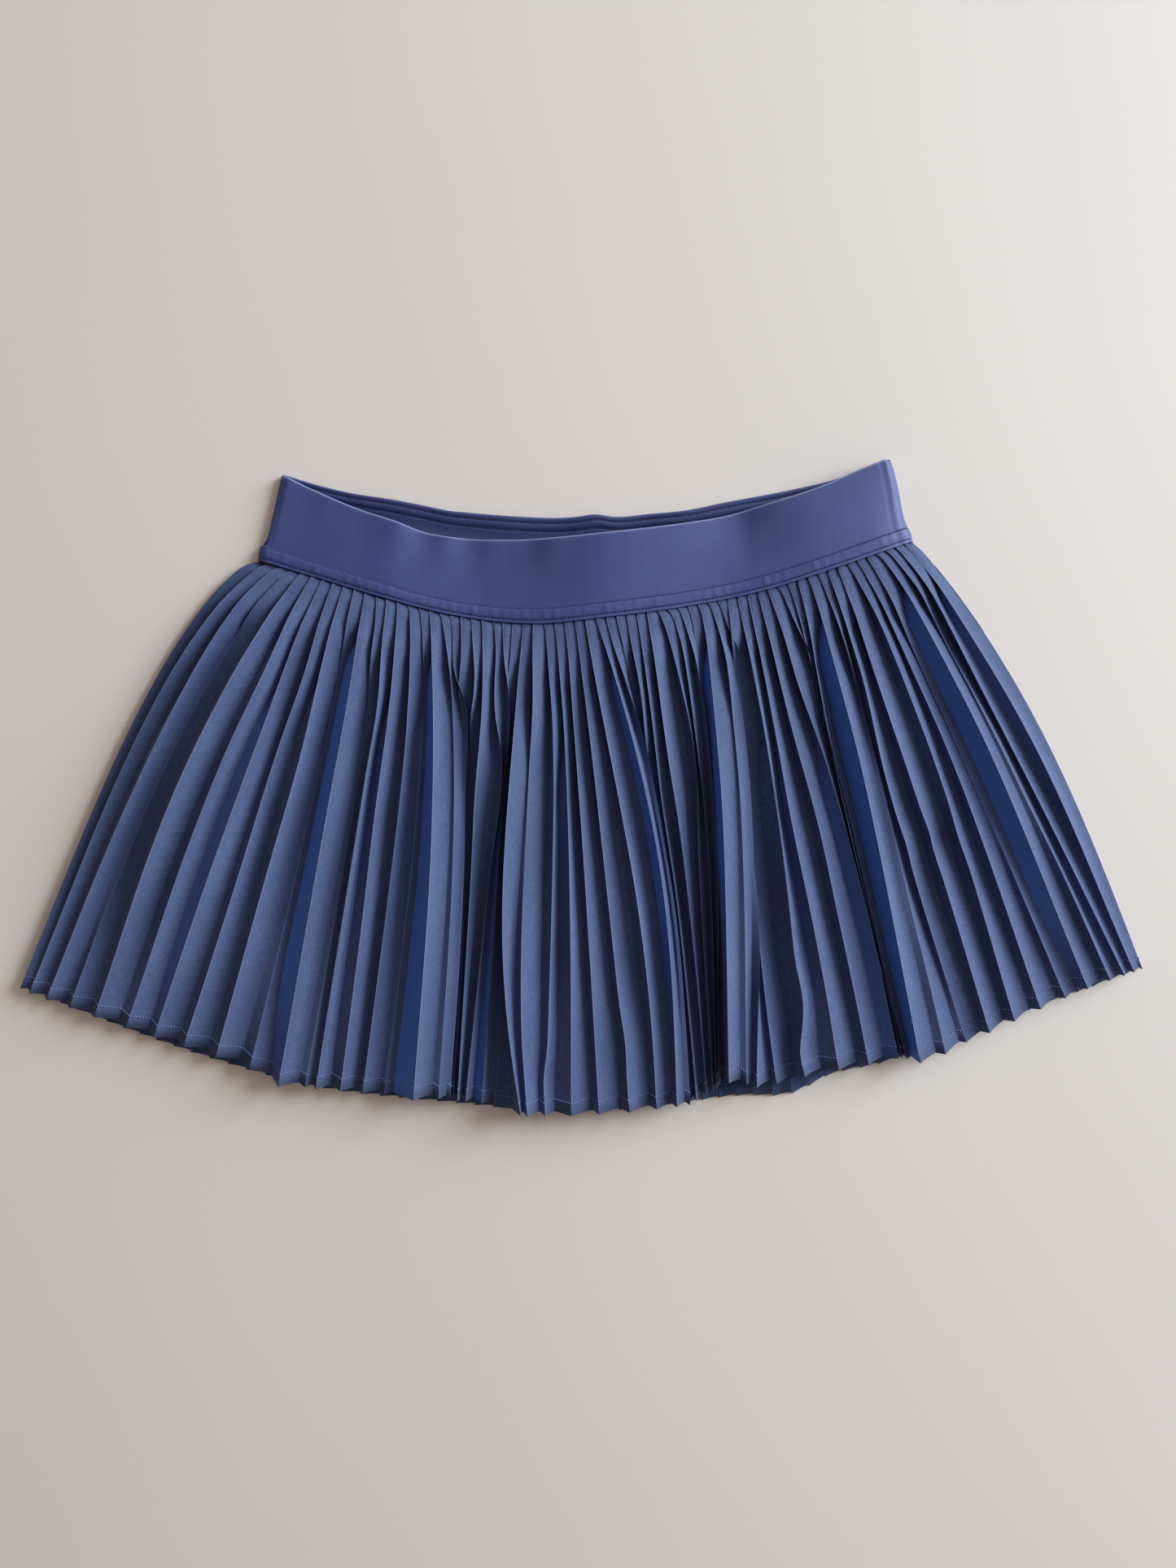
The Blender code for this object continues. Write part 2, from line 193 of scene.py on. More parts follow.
# Top edge of the back band: x, y
BACK_TOP_EDGE = (
    (-187, 189.2), (-165.3, 182.5), (-145.9, 177.8), (-119.9, 173.8), (-97.5, 169.5), (-86, 167.1),
    (-74.5, 165.9), (-45.1, 163.6), (-6.7, 163.3), (4.7, 164.7), (16.2, 163.5), (38, 165.2), (61.1, 167.3),
    (84, 172), (129.4, 180.8), (151.8, 186.2), (174.8, 194.7), (184.5, 198.7),
)

# Ends of the band: share of its height from the top edge, x at the left end, x at the right end
BAND_ENDS = (
    (0, -187.4, 184.7), (0.04, -188, 186), (0.34, -191.4, 190), (0.63, -195, 192.6),
    (STRIP_SHARE - STRIP_STEP, -197.4, 195), (STRIP_SHARE, -200.6, 196.6), (0.9, -201.6, 198),
    (1, -201.9, 198.9),
)

# How high the front band stands in soft waves along its top edge: x, lift
BAND_LIFT = (
    (-187, 1.4), (-172, 1.3), (-160, 2.2), (-148, 2.6), (-138, 2.8), (-128, 3.5), (-118, 3.7), (-106, 2),
    (-92, 1.7), (-80, 1), (-68, 0.9), (-56, 1.6), (-44, 2.6), (-30, 4.4), (-14, 6.2), (0, 7.8), (10, 8.3),
    (22, 8), (38, 6.8), (54, 5.3), (70, 3.7), (84, 2.5), (93, 2.4), (104, 4), (116, 6), (128, 7.5),
    (138, 8.2), (148, 8.4), (162, 8.4), (174, 8.2), (184, 7.8),
)

# Small ripples near the front band's top edge, on top of its waves: x, lift
BAND_RIPPLES = (
    (-187, 0), (-128, 0), (-116, 0.6), (-99, -0.5), (-86, 0.4), (-74, -0.5), (-60, 0.5), (-46, 0.2), (-36, 0),
    (-22, 0.9), (-6, 0.6), (60, 0), (92, -0.6), (106, 0.4), (140, 0), (184, 0),
)
RIPPLES_GONE_AT = 0.55

# How far the back band's top edge curls up where it shows: x, lift
BACK_CURL = (
    (-187, 0), (-165, 1.5), (-140, 3), (-100, 2.6), (-60, 3.4), (-20, 2.8), (4, 3.8), (16, 2.6), (60, 3.2),
    (100, 2.4), (150, 1.4), (184.5, 0),
)
BACK_CURL_DEPTH = 13.0

# Lift of the front seam above its ends: share of the waist, lift
SEAM_LIFT = (
    (0, 0), (0.06, 0.6), (0.13, 1.8), (0.2, 2.8), (0.27, 1.8), (0.33, 1.5), (0.4, 2.6), (0.52, 5.4),
    (0.6, 4.4), (0.72, 1.8), (0.78, 2.9), (0.87, 4.7), (0.92, 4.6), (0.96, 3.6), (1, 0),
)

# Folds of the front panel: pleat, x and y at the hem, sideways bow and where it is widest, lift halfway
# down and lift at the hem
FRONT_FOLDS = (
    (0, -346.5, -124.6, -19.5, 0.31, 0, 0), (1, -339, -127.6, -17.5, 0.34, 1, 0.2),
    (2, -328, -131.2, -16, 0.36, 4.5, 1), (3, -314, -136.2, -13, 0.4, 0, 0.3),
    (4, -300, -141, -9.5, 0.42, 9, 1.8), (5, -281, -147.7, -5, 0.45, 6, 1.6),
    (6, -263, -153.7, -2, 0.45, 4.5, 1.4), (7, -244.5, -159.3, 0.5, 0.42, 1.5, 1.4),
    (8, -225, -165.2, 1.5, 0.38, 3, 1.5), (9, -203, -172.5, 2, 0.35, 0.5, 1),
    (10, -185.4, -182, 2.2, 0.3, 6.5, 4.5), (11, -172.2, -183.5, 5.3, 0.3, 6, 4),
    (12, -167.2, -184.5, 3.5, 0.3, 4.5, 3), (13, -149.9, -185.5, 4.1, 0.3, 1, 1.2),
    (14, -135.1, -187, 7, 0.3, 1.5, 1), (15, -121.9, -188.5, 7, 0.3, 0.5, 0.5),
    (16, -103.3, -189.5, 5.3, 0.35, 7, 6), (17, -90.5, -189.8, 8.5, 0.35, 7, 6.5),
    (18, -84.7, -190, 8.1, 0.39, 6, 6), (19, -83.5, -190.6, 5, 0.4, 0.5, 0.5),
    (20, -82, -191.2, 4.5, 0.35, 0.5, 0.5), (21, -79.5, -192, 4.1, 0.32, 1.5, 1),
    (22, -74, -192.3, 8, 0.32, 1.5, 1), (23, -63, -193.5, 3.5, 0.35, 0, 0.5), (24, -56, -196.5, 5, 0.6, 0, 0),
    (25, -41.4, -198.8, -10.1, 0.61, 8.5, 8.5), (26, -36.5, -199.8, -4.8, 0.7, 8, 8),
    (27, -24.9, -200, 4.5, 0.32, 4, 5), (28, -9.1, -199.8, 4, 0.35, 3.5, 4.5),
    (29, 7.1, -198.8, 3.4, 0.4, 4, 5), (30, 24.3, -197.6, 3.9, 0.45, 4.5, 6),
    (31, 42, -196, 6.7, 0.6, 5, 6.5), (32, 53.6, -194.2, 12, 0.48, 7, 7.5),
    (33, 59.5, -193.7, 11, 0.54, 8, 7.5), (34, 61.5, -193.2, 8, 0.52, 2.5, 2),
    (35, 63.5, -192.8, 2, 0.5, 0.5, 0.8), (36, 66.5, -191.8, 2.5, 0.55, 0.5, 0.8),
    (37, 71, -188.7, 4, 0.55, 0.8, 1), (38, 76, -186.2, 10, 0.35, 1, 1),
    (39, 78, -184.5, 10.5, 0.32, 0.5, 0.8), (40, 79.5, -182.5, 8.5, 0.32, 0.5, 0.8),
    (41, 80.8, -181, 5.5, 0.32, 0.5, 0.8), (42, 82.5, -179, 6.5, 0.32, 8.5, 8),
    (43, 94.4, -181, 9, 0.32, 8, 7.5), (44, 99, -183, 8.7, 0.34, 6.5, 6),
    (45, 115, -181.5, -3.5, 0.62, 0.5, 1), (46, 130.3, -176.6, 3.1, 0.52, 4, 4),
    (47, 150.5, -172.6, 2.2, 0.62, 2, 2.5), (48, 169, -170, 2.9, 0.62, 1.5, 1.5),
    (49, 185, -166.5, 6.6, 0.51, 1.5, 1), (50, 188.5, -166.5, 8, 0.35, 0, 0),
    (51, 191.5, -166.8, 4, 0.35, 0, 0), (52, 195, -167.2, -1, 0.55, 0, 0),
    (53, 199.1, -167.8, 2.7, 0.32, 8.5, 8.5), (54, 215, -163.3, 5.2, 0.35, 7, 6),
    (55, 229.5, -156.8, -1.5, 0.6, 2, 2), (56, 242.6, -150.5, 1.9, 0.55, 4, 3.5),
    (57, 257.2, -143.5, 7.5, 0.4, 3.5, 2.5), (58, 273.5, -136.5, 5, 0.4, 2.5, 1.5),
    (59, 289, -129.8, 2.8, 0.37, 0.5, 0.8), (60, 302, -124, 7.2, 0.32, 6, 3), (61, 315, -119, 6, 0.32, 5, 2),
    (62, 325.5, -116.3, 5, 0.34, 1, 0.8), (63, 332, -114.6, 8, 0.4, 3.5, 1.5),
    (64, 338.4, -113, 14.5, 0.42, 0, 0),
)

# Returns of the front panel that are pulled out wide: pleat, from and to as shares of the way down, the share
# of the pleat's width that is left to its face, and how strongly the return is painted bluer, as painted
# light shining through it
WIDE_RETURNS = (
    (2, 0.05, 1, 0.62, 0), (3, 0.05, 0.95, 1, 0), (5, 0.2, 1.1, 0.55, 0.3), (7, 0.15, 0.9, 0.6, 0),
    (9, 0.02, 1.1, 0.25, 1), (12, 0.15, 1.2, 0.45, 0), (14, 0.15, 0.9, 0.45, 0), (15, 0.02, 1.4, 0.25, 1),
    (22, 0.3, 1.4, 0.45, 0.7), (24, 0.02, 1.4, 1.05, 0), (27, 0.2, 1.4, 0.35, 0), (31, 0.02, 0.9, 0.72, 0.8),
    (41, 0.02, 0.85, 0.25, 1), (45, 0.25, 1.1, 0.45, 0), (46, 0.3, 1.4, 0.55, 0), (48, 0.3, 1.4, 0.6, 0.3),
    (52, 0.02, 1.4, 0.25, 1), (59, 0.02, 1.1, 0.35, 0.75), (62, 0.05, 0.7, 0.6, 0.2),
)

# Ridges of the front panel that are pressed flat in a deep gap: pleat, from and to
FLAT_RIDGES = (
    (3, 0.04, 1), (9, 0.02, 1.1), (11, 0.08, 1.3), (15, 0.02, 1.3), (17, 0.08, 1.3), (20, 0.15, 1.3),
    (24, 0.15, 1.3), (26, 0.15, 0.8), (34, 0.02, 1.3), (41, 0.02, 1.3), (43, 0.1, 1.3), (54, 0.15, 1),
    (59, 0.1, 0.9), (61, 0.08, 0.9),
)

# Single ridges of the front panel that stand up or are bent: pleat, share of the way down, half length of
# that stretch as such a share, shift to the right and lift
KINKS = (
    (4, 0.2, 0.12, 0, 4.5), (5, 0.22, 0.12, 0.5, 2.5), (7, 0.2, 0.1, 0.4, 1.8), (8, 0.4, 0.14, 0.5, 1.5),
    (12, 0.22, 0.1, 0.8, 2), (14, 0.45, 0.15, -0.6, 1.5), (19, 0.1, 0.07, -0.5, 2), (20, 0.15, 0.09, 0, 3),
    (21, 0.25, 0.14, 0, 3.5), (22, 0.32, 0.14, 0.3, 3.5), (23, 0.2, 0.1, 0.4, 3), (27, 0.93, 0.05, -1.5, -1),
    (30, 0.86, 0.06, 1.2, 0.6), (35, 0.16, 0.08, 0, 1.5), (37, 0.4, 0.12, -0.4, 1.5), (38, 0.3, 0.14, 0.5, 2),
    (46, 0.84, 0.06, 2, 1), (46, 0.95, 0.04, -1.5, -1), (48, 0.5, 0.14, 0.5, 2), (50, 0.2, 0.1, 0.5, 2.4),
    (55, 0.26, 0.12, 0.5, 1.5), (56, 0.58, 0.04, 2.5, -2), (57, 0.6, 0.05, -2, 1.5),
)

# Height of the front panel's ridges, as a share of what their widths give: pleat, halfway down, at the hem
RIDGE_SHARES = (
    (0, 0.7, 0.4), (6, 0.8, 0.45), (12, 1, 0.7), (18, 1, 0.8), (24, 0.9, 0.7), (30, 0.9, 0.55), (40, 1, 0.75),
    (48, 0.85, 0.65), (56, 0.75, 0.55), (60, 0.65, 0.45), (64, 0.7, 0.45),
)

# Share of the way down, the most of a pleat's width that its face covers, and how far the face arches up as a
# share of its ridge's height
FACE_SHAPES = (
    (0, 2.5, 0), (0.06, 1.9, 0.1), (0.13, 1.1, 0), (0.28, 0.96, -0.2), (0.45, 0.84, -0.35),
    (0.7, 0.76, -0.38), (1, 0.72, -0.32),
)
BACK_ARCH = -0.3
HEM_TEETH = 2.2
TEETH_POWER = 4.0

# Folds of the back panel, which lies flat: the same columns
BACK_FOLDS = (
    (0, -343.5, -126.6, -19, 0.3, 0, 0), (8, -265.2, -157.1, -14, 0.36, 0, 0),
    (16, -174.5, -184.5, -6, 0.4, 0, 0), (24, -80.9, -196, 0, 0.5, 0, 0), (32, 8.7, -200.9, 0, 0.5, 0, 0),
    (40, 90.9, -191.5, 2, 0.5, 0, 0), (43.6, 131.5, -187.8, 4, 0.48, 0, 0),
    (44.6, 141.5, -181.5, 4.5, 0.48, 0, 0), (48, 178, -172, 6, 0.45, 0, 0),
    (56, 260.2, -142.7, 11, 0.42, 0, 0), (64, 339.2, -113.4, 14.5, 0.42, 0, 0),
)


def hex_colour(code):
    """An sRGB hex colour as linear red, green, blue and alpha."""
    channels = [int(code[i:i + 2], 16) / 255 for i in (1, 3, 5)]
    return [c / 12.92 if c <= 0.04045 else ((c + 0.055) / 1.055) ** 2.4 for c in channels] + [1.0]


def add(tree, kind, *values, **settings):
    """Adds a node with its settings, and sets or links its inputs, in order or by name and number."""
    made = tree.nodes.new(kind)
    for name, value in settings.items():
        setattr(made, name, value)
    given = values[0] if values and isinstance(values[0], dict) else dict(enumerate(values))
    for key, value in given.items():
        if isinstance(key, str):
            socket = next(s for s in made.inputs if s.enabled and s.name == key)
        else:
            socket = made.inputs[key]
        if isinstance(value, bpy.types.Node):
            value = next(s for s in value.outputs if s.enabled)
        if isinstance(value, bpy.types.NodeSocket):
            tree.links.new(value, socket)
        else:
            socket.default_value = value
    return made


# Shapes that the tables give


def smooth(keys, values, at):
    """A smooth curve through the values: cubic pieces whose slopes come from the neighbouring keys."""
    keys = np.asarray(keys, float)
    slopes = np.gradient(values, keys, axis=0)
    piece = np.clip(np.searchsorted(keys, at, side="right") - 1, 0, len(keys) - 2)
    more = (1,) * (values.ndim - 1)
    span = (keys[piece + 1] - keys[piece]).reshape(at.shape + more)
    t = (at - keys[piece]).reshape(at.shape + more) / span
    start = (1 + 2 * t) * (1 - t) ** 2 * values[piece] + t * (1 - t) ** 2 * span * slopes[piece]
    end = t * t * (3 - 2 * t) * values[piece + 1] - t * t * (1 - t) * span * slopes[piece + 1]
    return start + end


def column(table, index):
    return np.array([row[index] for row in table], float)


def curve(table, at, index=1):
    """The smooth curve that a column of a table gives over the first one."""
    return smooth(column(table, 0), column(table, index), at)


def straight(table, at, index=1):
    """The same in straight pieces."""
    return np.interp(at, column(table, 0), column(table, index))


def along(table, share):
    """The first column's value at a share of the way from the table's start to its end."""
    return table[0][0] + (table[-1][0] - table[0][0]) * np.asarray(share, float)


def metres(points):
    """Points as the tables give them, in metres in the skirt's frame."""
    return np.subtract(points, (*MIDDLE, 0.0)) * MM


def new_object(name, data):
    """Puts a mesh, a light or a camera into the scene as an object."""
    made = bpy.data.objects.new(name, data)
    bpy.context.scene.collection.objects.link(made)
    return made


def ease(t):
    """0 to 1 with level ends."""
    t = np.clip(t, 0.0, 1.0)
    return t * t * (3 - 2 * t)


def seam_place(share):
    """A point of the seam in plan, for a share of the waist from the left end."""
    x = along(SEAM, share)
    return np.stack([x, curve(SEAM, x), np.zeros_like(x)], axis=-1)


def pleat_share(pleat):
    """The share of the waist at a pleat: the pleats are a little wider at the left."""
    t = np.asarray(pleat, float) / PLEATS
    return t + SEAM_CROWDING * t * (1 - t)


def edge_taper(pleat):
    """1 over most of a panel, less over the first and last pleats, which lie thinner."""
    from_edge = np.minimum(pleat, PLEATS - np.asarray(pleat, float)) / EDGE_PLEATS
    return EDGE_SHARE + (1 - EDGE_SHARE) * ease(from_edge)


def folded(folds, pleat, down):
    """Points of a panel at a share of the way down from the seam, as its table of folds lays them."""
    keys = column(folds, 0)
    top = seam_place(pleat_share(keys))
    away = np.stack([column(folds, 1), column(folds, 2)], axis=-1) - top[:, :2]
    length = np.linalg.norm(away, axis=1, keepdims=True)
    sideways = np.stack([-away[:, 1], away[:, 0]], axis=-1) / length
    widest = np.log(0.5) / np.log(column(folds, 4))
    bow = column(folds, 3) * np.sin(math.pi * down**widest)
    shift = away * down + sideways * bow[:, None]
    halfway, at_hem = column(folds, 5), column(folds, 6)
    lift = halfway * ease(down / HALFWAY) + (at_hem - halfway) * ease((down - HALFWAY) / (1 - HALFWAY))
    return seam_place(pleat_share(pleat)) + smooth(keys, np.column_stack([shift, lift]), pleat)


def unevenness(downs, seed, amount, keys):
    """Seeded unevenness of a panel, smooth down the pleats, partly shared by neighbours, none at the seam."""
    random = np.random.default_rng(seed)
    values = random.normal(0.0, amount, (len(keys), PLEATS + 1))
    values = OWN_SHARE * values + NEIGHBOUR_SHARE * (np.roll(values, 1, axis=1) + np.roll(values, -1, axis=1))
    values[0] = 0.0
    return smooth(keys, values, downs)


def kinks(numbers, downs):
    """The sideways shift and lift that the small kinks give to the ridges."""
    sideways = np.zeros((len(downs), len(numbers)))
    lift = np.zeros_like(sideways)
    for pleat, down, half_length, shift, raised in KINKS:
        near = np.exp(-(((downs - down) / half_length) ** 2))[:, None]
        share = near * np.exp(-(((numbers - pleat) / KINK_REACH) ** 2))
        sideways += share * shift
        lift += share * raised
    return sideways, lift


def between(downs, start, end):
    """1 between two shares of the way down, with soft ends."""
    return ease((downs - start) / OPENS_OVER) * ease((end - downs) / CLOSES_OVER)


def face_limits(numbers, downs):
    """The most of each pleat's width that its face may cover, and the painted light through its return."""
    limit = np.repeat(straight(FACE_SHAPES, downs)[:, None], len(numbers), axis=1)
    glow = np.zeros_like(limit)
    for pleat, start, end, share, light in WIDE_RETURNS:
        pulled = between(downs, start, end)
        limit[:, pleat] += (share - limit[:, pleat]) * pulled
        glow[:, pleat] += light * pulled
    return limit, glow


def inside_bend(lines):
    """1 where a section runs on or bends down, falling to 0 where it bends sharply up."""
    step = np.diff(lines, axis=1)
    heading = np.unwrap(np.arctan2(step[..., 2], step[..., 0]), axis=1)
    bend = np.diff(heading, axis=1, prepend=heading[:, :1], append=heading[:, -1:])
    return 1 - ease((bend - LEAST_BEND) / (MOST_BEND - LEAST_BEND))


# Pleated panels


def panel_downs():
    """Rows of a panel from the seam to the hem, closer at the seam, with one row on the hem's stitches."""
    t = np.linspace(0.0, 1.0, PANEL_ROWS)
    downs = EVEN_ROWS * t + CLOSE_ROWS * t**CLOSENESS
    downs[np.argmin(abs(downs - HEM_STITCHES_AT))] = HEM_STITCHES_AT
    return downs


def ridge_lines(folds):
    """A panel's pleats by number, its rows, the lines of its pleats, and the height of its low ridges."""
    numbers = np.arange(PLEATS + 1, dtype=float)
    downs = panel_downs()
    lines = np.array([folded(folds, numbers, down) for down in downs])
    low = (BACK_RIDGE_SEAM + (BACK_RIDGE_HEM - BACK_RIDGE_SEAM) * downs)[:, None] * edge_taper(numbers)
    return numbers, downs, lines, low


def front_lines():
    """The front panel's ridge lines in their large folds, and what each of their points carries."""
    numbers, downs, lines, low = ridge_lines(FRONT_FOLDS)
    opened = ease(downs / OPEN_AT)[:, None]
    waist = curve(SEAM_LIFT, pleat_share(numbers)) * (1 - ease(downs / SEAM_LIFT_GONE_AT))[:, None]
    tuck = TUCK_DEPTH * (1 - ease(downs / TUCK_GONE_AT))[:, None]
    low = low + PANEL_WALL + SEAM_GAP
    inner = np.minimum(numbers, PLEATS - numbers) > 0
    sideways, kinked = kinks(numbers, downs)
    lines[..., 0] += (unevenness(downs, *UNEVEN_SIDEWAYS) + sideways) * np.where(inner, 1.0, EDGE_CALM)
    lift = np.maximum(lines[..., 2] + unevenness(downs, *UNEVEN_LIFT) + kinked, 0.0)
    lines[..., 2] = low + VALLEY_DEPTH + waist + lift - tuck
    halfway, at_hem = curve(RIDGE_SHARES, numbers, 1), curve(RIDGE_SHARES, numbers, 2)
    upper, lower = ease(2 * downs)[:, None], ease(2 * downs - 1)[:, None]
    tallest = RIDGE_SEAM + (RIDGE_OPEN - RIDGE_SEAM) * opened + unevenness(downs, *UNEVEN_RIDGES)
    tallest = tallest * edge_taper(numbers) * (1 + (halfway - 1) * upper + (at_hem - halfway) * lower)
    room = (LEAST_ROOM + (1 - LEAST_ROOM) * inside_bend(lines)) * inner
    for pleat, start, end in FLAT_RIDGES:
        room[:, pleat] *= 1 - FLATTENED * between(downs, start, end)
    limit, glow = face_limits(numbers, downs)
    arch = straight(FACE_SHAPES, downs, 2)[:, None]
    sewn = lines[0] - lines[1]
    lines[0] += sewn / np.linalg.norm(sewn, axis=1, keepdims=True) * SEWN_IN
    return lines, {
        "down": downs[:, None], "tallest": tallest * MM, "room": room, "floor": low * MM, "face limit": limit,
        "least": (LEAST_RIDGE + (LEAST_OPEN - LEAST_RIDGE) * opened) * MM,
        "arch": arch + unevenness(downs, *UNEVEN_ARCH), "glow": glow,
    }


def back_lines():
    """The same for the back panel, which lies flat."""
    numbers, downs, lines, low = ridge_lines(BACK_FOLDS)
    lines[..., 2] += HEM_THREAD
    return lines, {
        "down": downs[:, None], "tallest": low * MM, "room": numbers < PLEATS, "floor": HEM_THREAD * MM,
        "face limit": BACK_FACE_LIMIT, "least": LEAST_RIDGE * MM, "arch": BACK_ARCH, "glow": 0.0,
    }


def lines_mesh(name, lines, carried):
    """The ridge lines as loose points that carry what the pleating needs."""
    mesh = bpy.data.meshes.new(name)
    mesh.from_pydata(metres(lines).reshape(-1, 3).tolist(), [], [])
    for label, numbers in carried.items():
        numbers = np.broadcast_to(numbers, lines.shape[:2]).astype(np.float32).ravel()
        mesh.attributes.new(label, "FLOAT", "POINT").data.foreach_set("value", numbers)
    return mesh


def geometry_tree(name, start, end, inputs):
    """A Geometry Nodes group with named inputs and their values, what adds its nodes, and its inputs."""
    tree = bpy.data.node_groups.new(name, "GeometryNodeTree")
    face = tree.interface
    face.new_socket(start, in_out="INPUT", socket_type="NodeSocketGeometry")
    for label, kind, value in inputs:
        socket = face.new_socket(label, in_out="INPUT", socket_type="NodeSocket" + kind)
        if value is not None:
            socket.default_value = value
    face.new_socket(end, in_out="OUTPUT", socket_type="NodeSocketGeometry")
    node = partial(add, tree)
    return tree, node, node("NodeGroupInput").outputs


def pleating_tree():
    """Geometry Nodes that fold a cloth into knife pleats along ridge lines, given row by row."""
    tree, node, given = geometry_tree("knife pleats", "Ridge lines", "Panel", (
        ("Pleats", "Int", PLEATS), ("Rows", "Int", PANEL_ROWS),
        ("Face steps", "Int", FACE_STEPS), ("Return steps", "Int", RETURN_STEPS),
        ("Face width", "Float", FACE_WIDTH * MM), ("Return width", "Float", RETURN_WIDTH * MM),
        ("Crowding", "Float", 0.94), ("Ridges up", "Float", 1.0), ("Hem teeth", "Float", HEM_TEETH * MM),
        ("Length", "Float", PANEL_LENGTH * MM), ("Cloth", "Material", None),
    ))
    carried = {
        label: node("GeometryNodeInputNamedAttribute", {"Name": label}, data_type="FLOAT")
        for label in ("down", "tallest", "least", "room", "floor", "face limit", "arch", "glow")
    }

    # Where each point of the ridge lines has its neighbours
    wide = node(MATH, given["Pleats"], 1.0, operation="ADD")
    index = node("GeometryNodeInputIndex")
    over = node(MATH, index, wide, operation="DIVIDE")
    row = node(MATH, over, operation="FLOOR")
    last_row = node(MATH, given["Rows"], 1.0, operation="SUBTRACT")
    rows_left = node(MATH, last_row, row, operation="SUBTRACT")
    beside = [node(MATH, index, 1.0, operation="ADD")]
    for rows, way in ((row, "SUBTRACT"), (rows_left, "ADD")):
        one = node(MATH, rows, 1.0, operation="MINIMUM")
        points = node(MATH, one, wide, operation="MULTIPLY")
        beside.append(node(MATH, index, points, operation=way))
    place = node("GeometryNodeInputPosition")
    right, above, below = [
        node("GeometryNodeFieldAtIndex", {"Index": where, "Value": place}, data_type="FLOAT_VECTOR")
        for where in beside
    ]

    # The pitch of each pleat at right angles to it, and the direction out of the cloth
    run = node(VECTOR_MATH, below, above, operation="SUBTRACT")
    along = node(VECTOR_MATH, run, operation="NORMALIZE")
    step = node(VECTOR_MATH, right, place, operation="SUBTRACT")
    lost = node(VECTOR_MATH, step, along, operation="DOT_PRODUCT")
    back = node(VECTOR_MATH, {0: along, "Scale": lost.outputs["Value"]}, operation="SCALE")
    side = node(VECTOR_MATH, step, back, operation="SUBTRACT")
    length = node(VECTOR_MATH, side, operation="LENGTH")
    pitch = node(MATH, length.outputs["Value"], LEAST_PITCH * MM, operation="MAXIMUM")
    cross = node(VECTOR_MATH, along, side, operation="CROSS_PRODUCT")
    out = node(VECTOR_MATH, cross, operation="NORMALIZE")

    # Reach and height of a triangle with the wide face, the return and the pitch as its sides
    face_square, return_square, pitch_square = [
        node(MATH, width, 2.0, operation="POWER")
        for width in (given["Face width"], given["Return width"], pitch)
    ]
    more = node(MATH, face_square, return_square, operation="SUBTRACT")
    total = node(MATH, more, pitch_square, operation="ADD")
    twice = node(MATH, pitch, 2.0, operation="MULTIPLY")
    reach = node(MATH, total, twice, operation="DIVIDE")
    reach = node(MATH, reach, given["Face width"], operation="MINIMUM")
    reach_square = node(MATH, reach, 2.0, operation="POWER")
    rest = node(MATH, face_square, reach_square, operation="SUBTRACT")
    rest = node(MATH, rest, 0.0, operation="MAXIMUM")
    height = node(MATH, rest, operation="SQRT")

    # What its point allows, and less where the cloth stands on edge
    facing = node("ShaderNodeSeparateXYZ", out).outputs["Z"]
    level = node(MAP_RANGE, {
        "Value": facing, "From Min": SLOPE_LOWEST, "From Max": SLOPE_FULL, "To Min": SLOPE_LEAST,
    })
    for limit, how in (("least", "MAXIMUM"), ("tallest", "MINIMUM"), ("room", "MULTIPLY")):
        height = node(MATH, height, carried[limit], operation=how)
    height = node(MATH, height, level, operation="MULTIPLY")
    rise = node(VECTOR_MATH, {0: out, "Scale": height}, operation="SCALE")
    ridge_up = node(VECTOR_MATH, {0: rise, "Scale": given["Ridges up"]}, operation="SCALE")
    valley_up = node(VECTOR_MATH, rise, ridge_up, operation="SUBTRACT")

    # How many pleats a face covers
    share = node(MATH, reach, pitch, operation="DIVIDE")
    passed = node(MATH, index, wide, operation="MODULO")
    left_over = node(MATH, given["Pleats"], passed, operation="SUBTRACT")
    furthest = node(MATH, level, *FACE_REACH, operation="MULTIPLY_ADD")
    for most in (left_over, furthest, carried["face limit"]):
        share = node(MATH, share, most, operation="MINIMUM")

    # Ridges and valleys, which end a little short of the ridges at the hem and stay above what lies below
    shorter = node(MATH, carried["down"], TEETH_POWER, operation="POWER")
    shorter = node(MATH, shorter, given["Hem teeth"], operation="MULTIPLY")
    shorter = node(MATH, shorter, -1.0, operation="MULTIPLY")
    tooth = node(VECTOR_MATH, {0: along, "Scale": shorter}, operation="SCALE")
    passed = node(MATH, share, operation="FLOOR")
    past = node(MATH, share, passed, operation="SUBTRACT")
    before = node(MATH, index, passed, operation="ADD")
    after = node(MATH, before, 1.0, operation="ADD")
    ends = [
        node("GeometryNodeFieldAtIndex", {"Index": where, "Value": place}, data_type="FLOAT_VECTOR")
        for where in (before, after)
    ]
    ridge = node(VECTOR_MATH, place, ridge_up, operation="ADD")
    valley = node(MIX, {"Factor": past, "A": ends[0], "B": ends[1]}, data_type="VECTOR")
    valley = node(VECTOR_MATH, valley, valley_up, operation="ADD")
    valley = node(VECTOR_MATH, valley, tooth, operation="ADD")
    low = node("ShaderNodeCombineXYZ", -1.0, -1.0, carried["floor"])
    valley = node(VECTOR_MATH, valley, low, operation="MAXIMUM")

    # The folded cloth: a grid whose columns run over each wide face and back up each return
    steps = node(MATH, given["Face steps"], given["Return steps"], operation="ADD")
    columns = node(MATH, given["Pleats"], steps, operation="MULTIPLY")
    verts = node(MATH, columns, 1.0, operation="ADD")
    grid = node("GeometryNodeMeshGrid", {
        "Size X": columns, "Size Y": last_row, "Vertices X": verts, "Vertices Y": given["Rows"],
    })

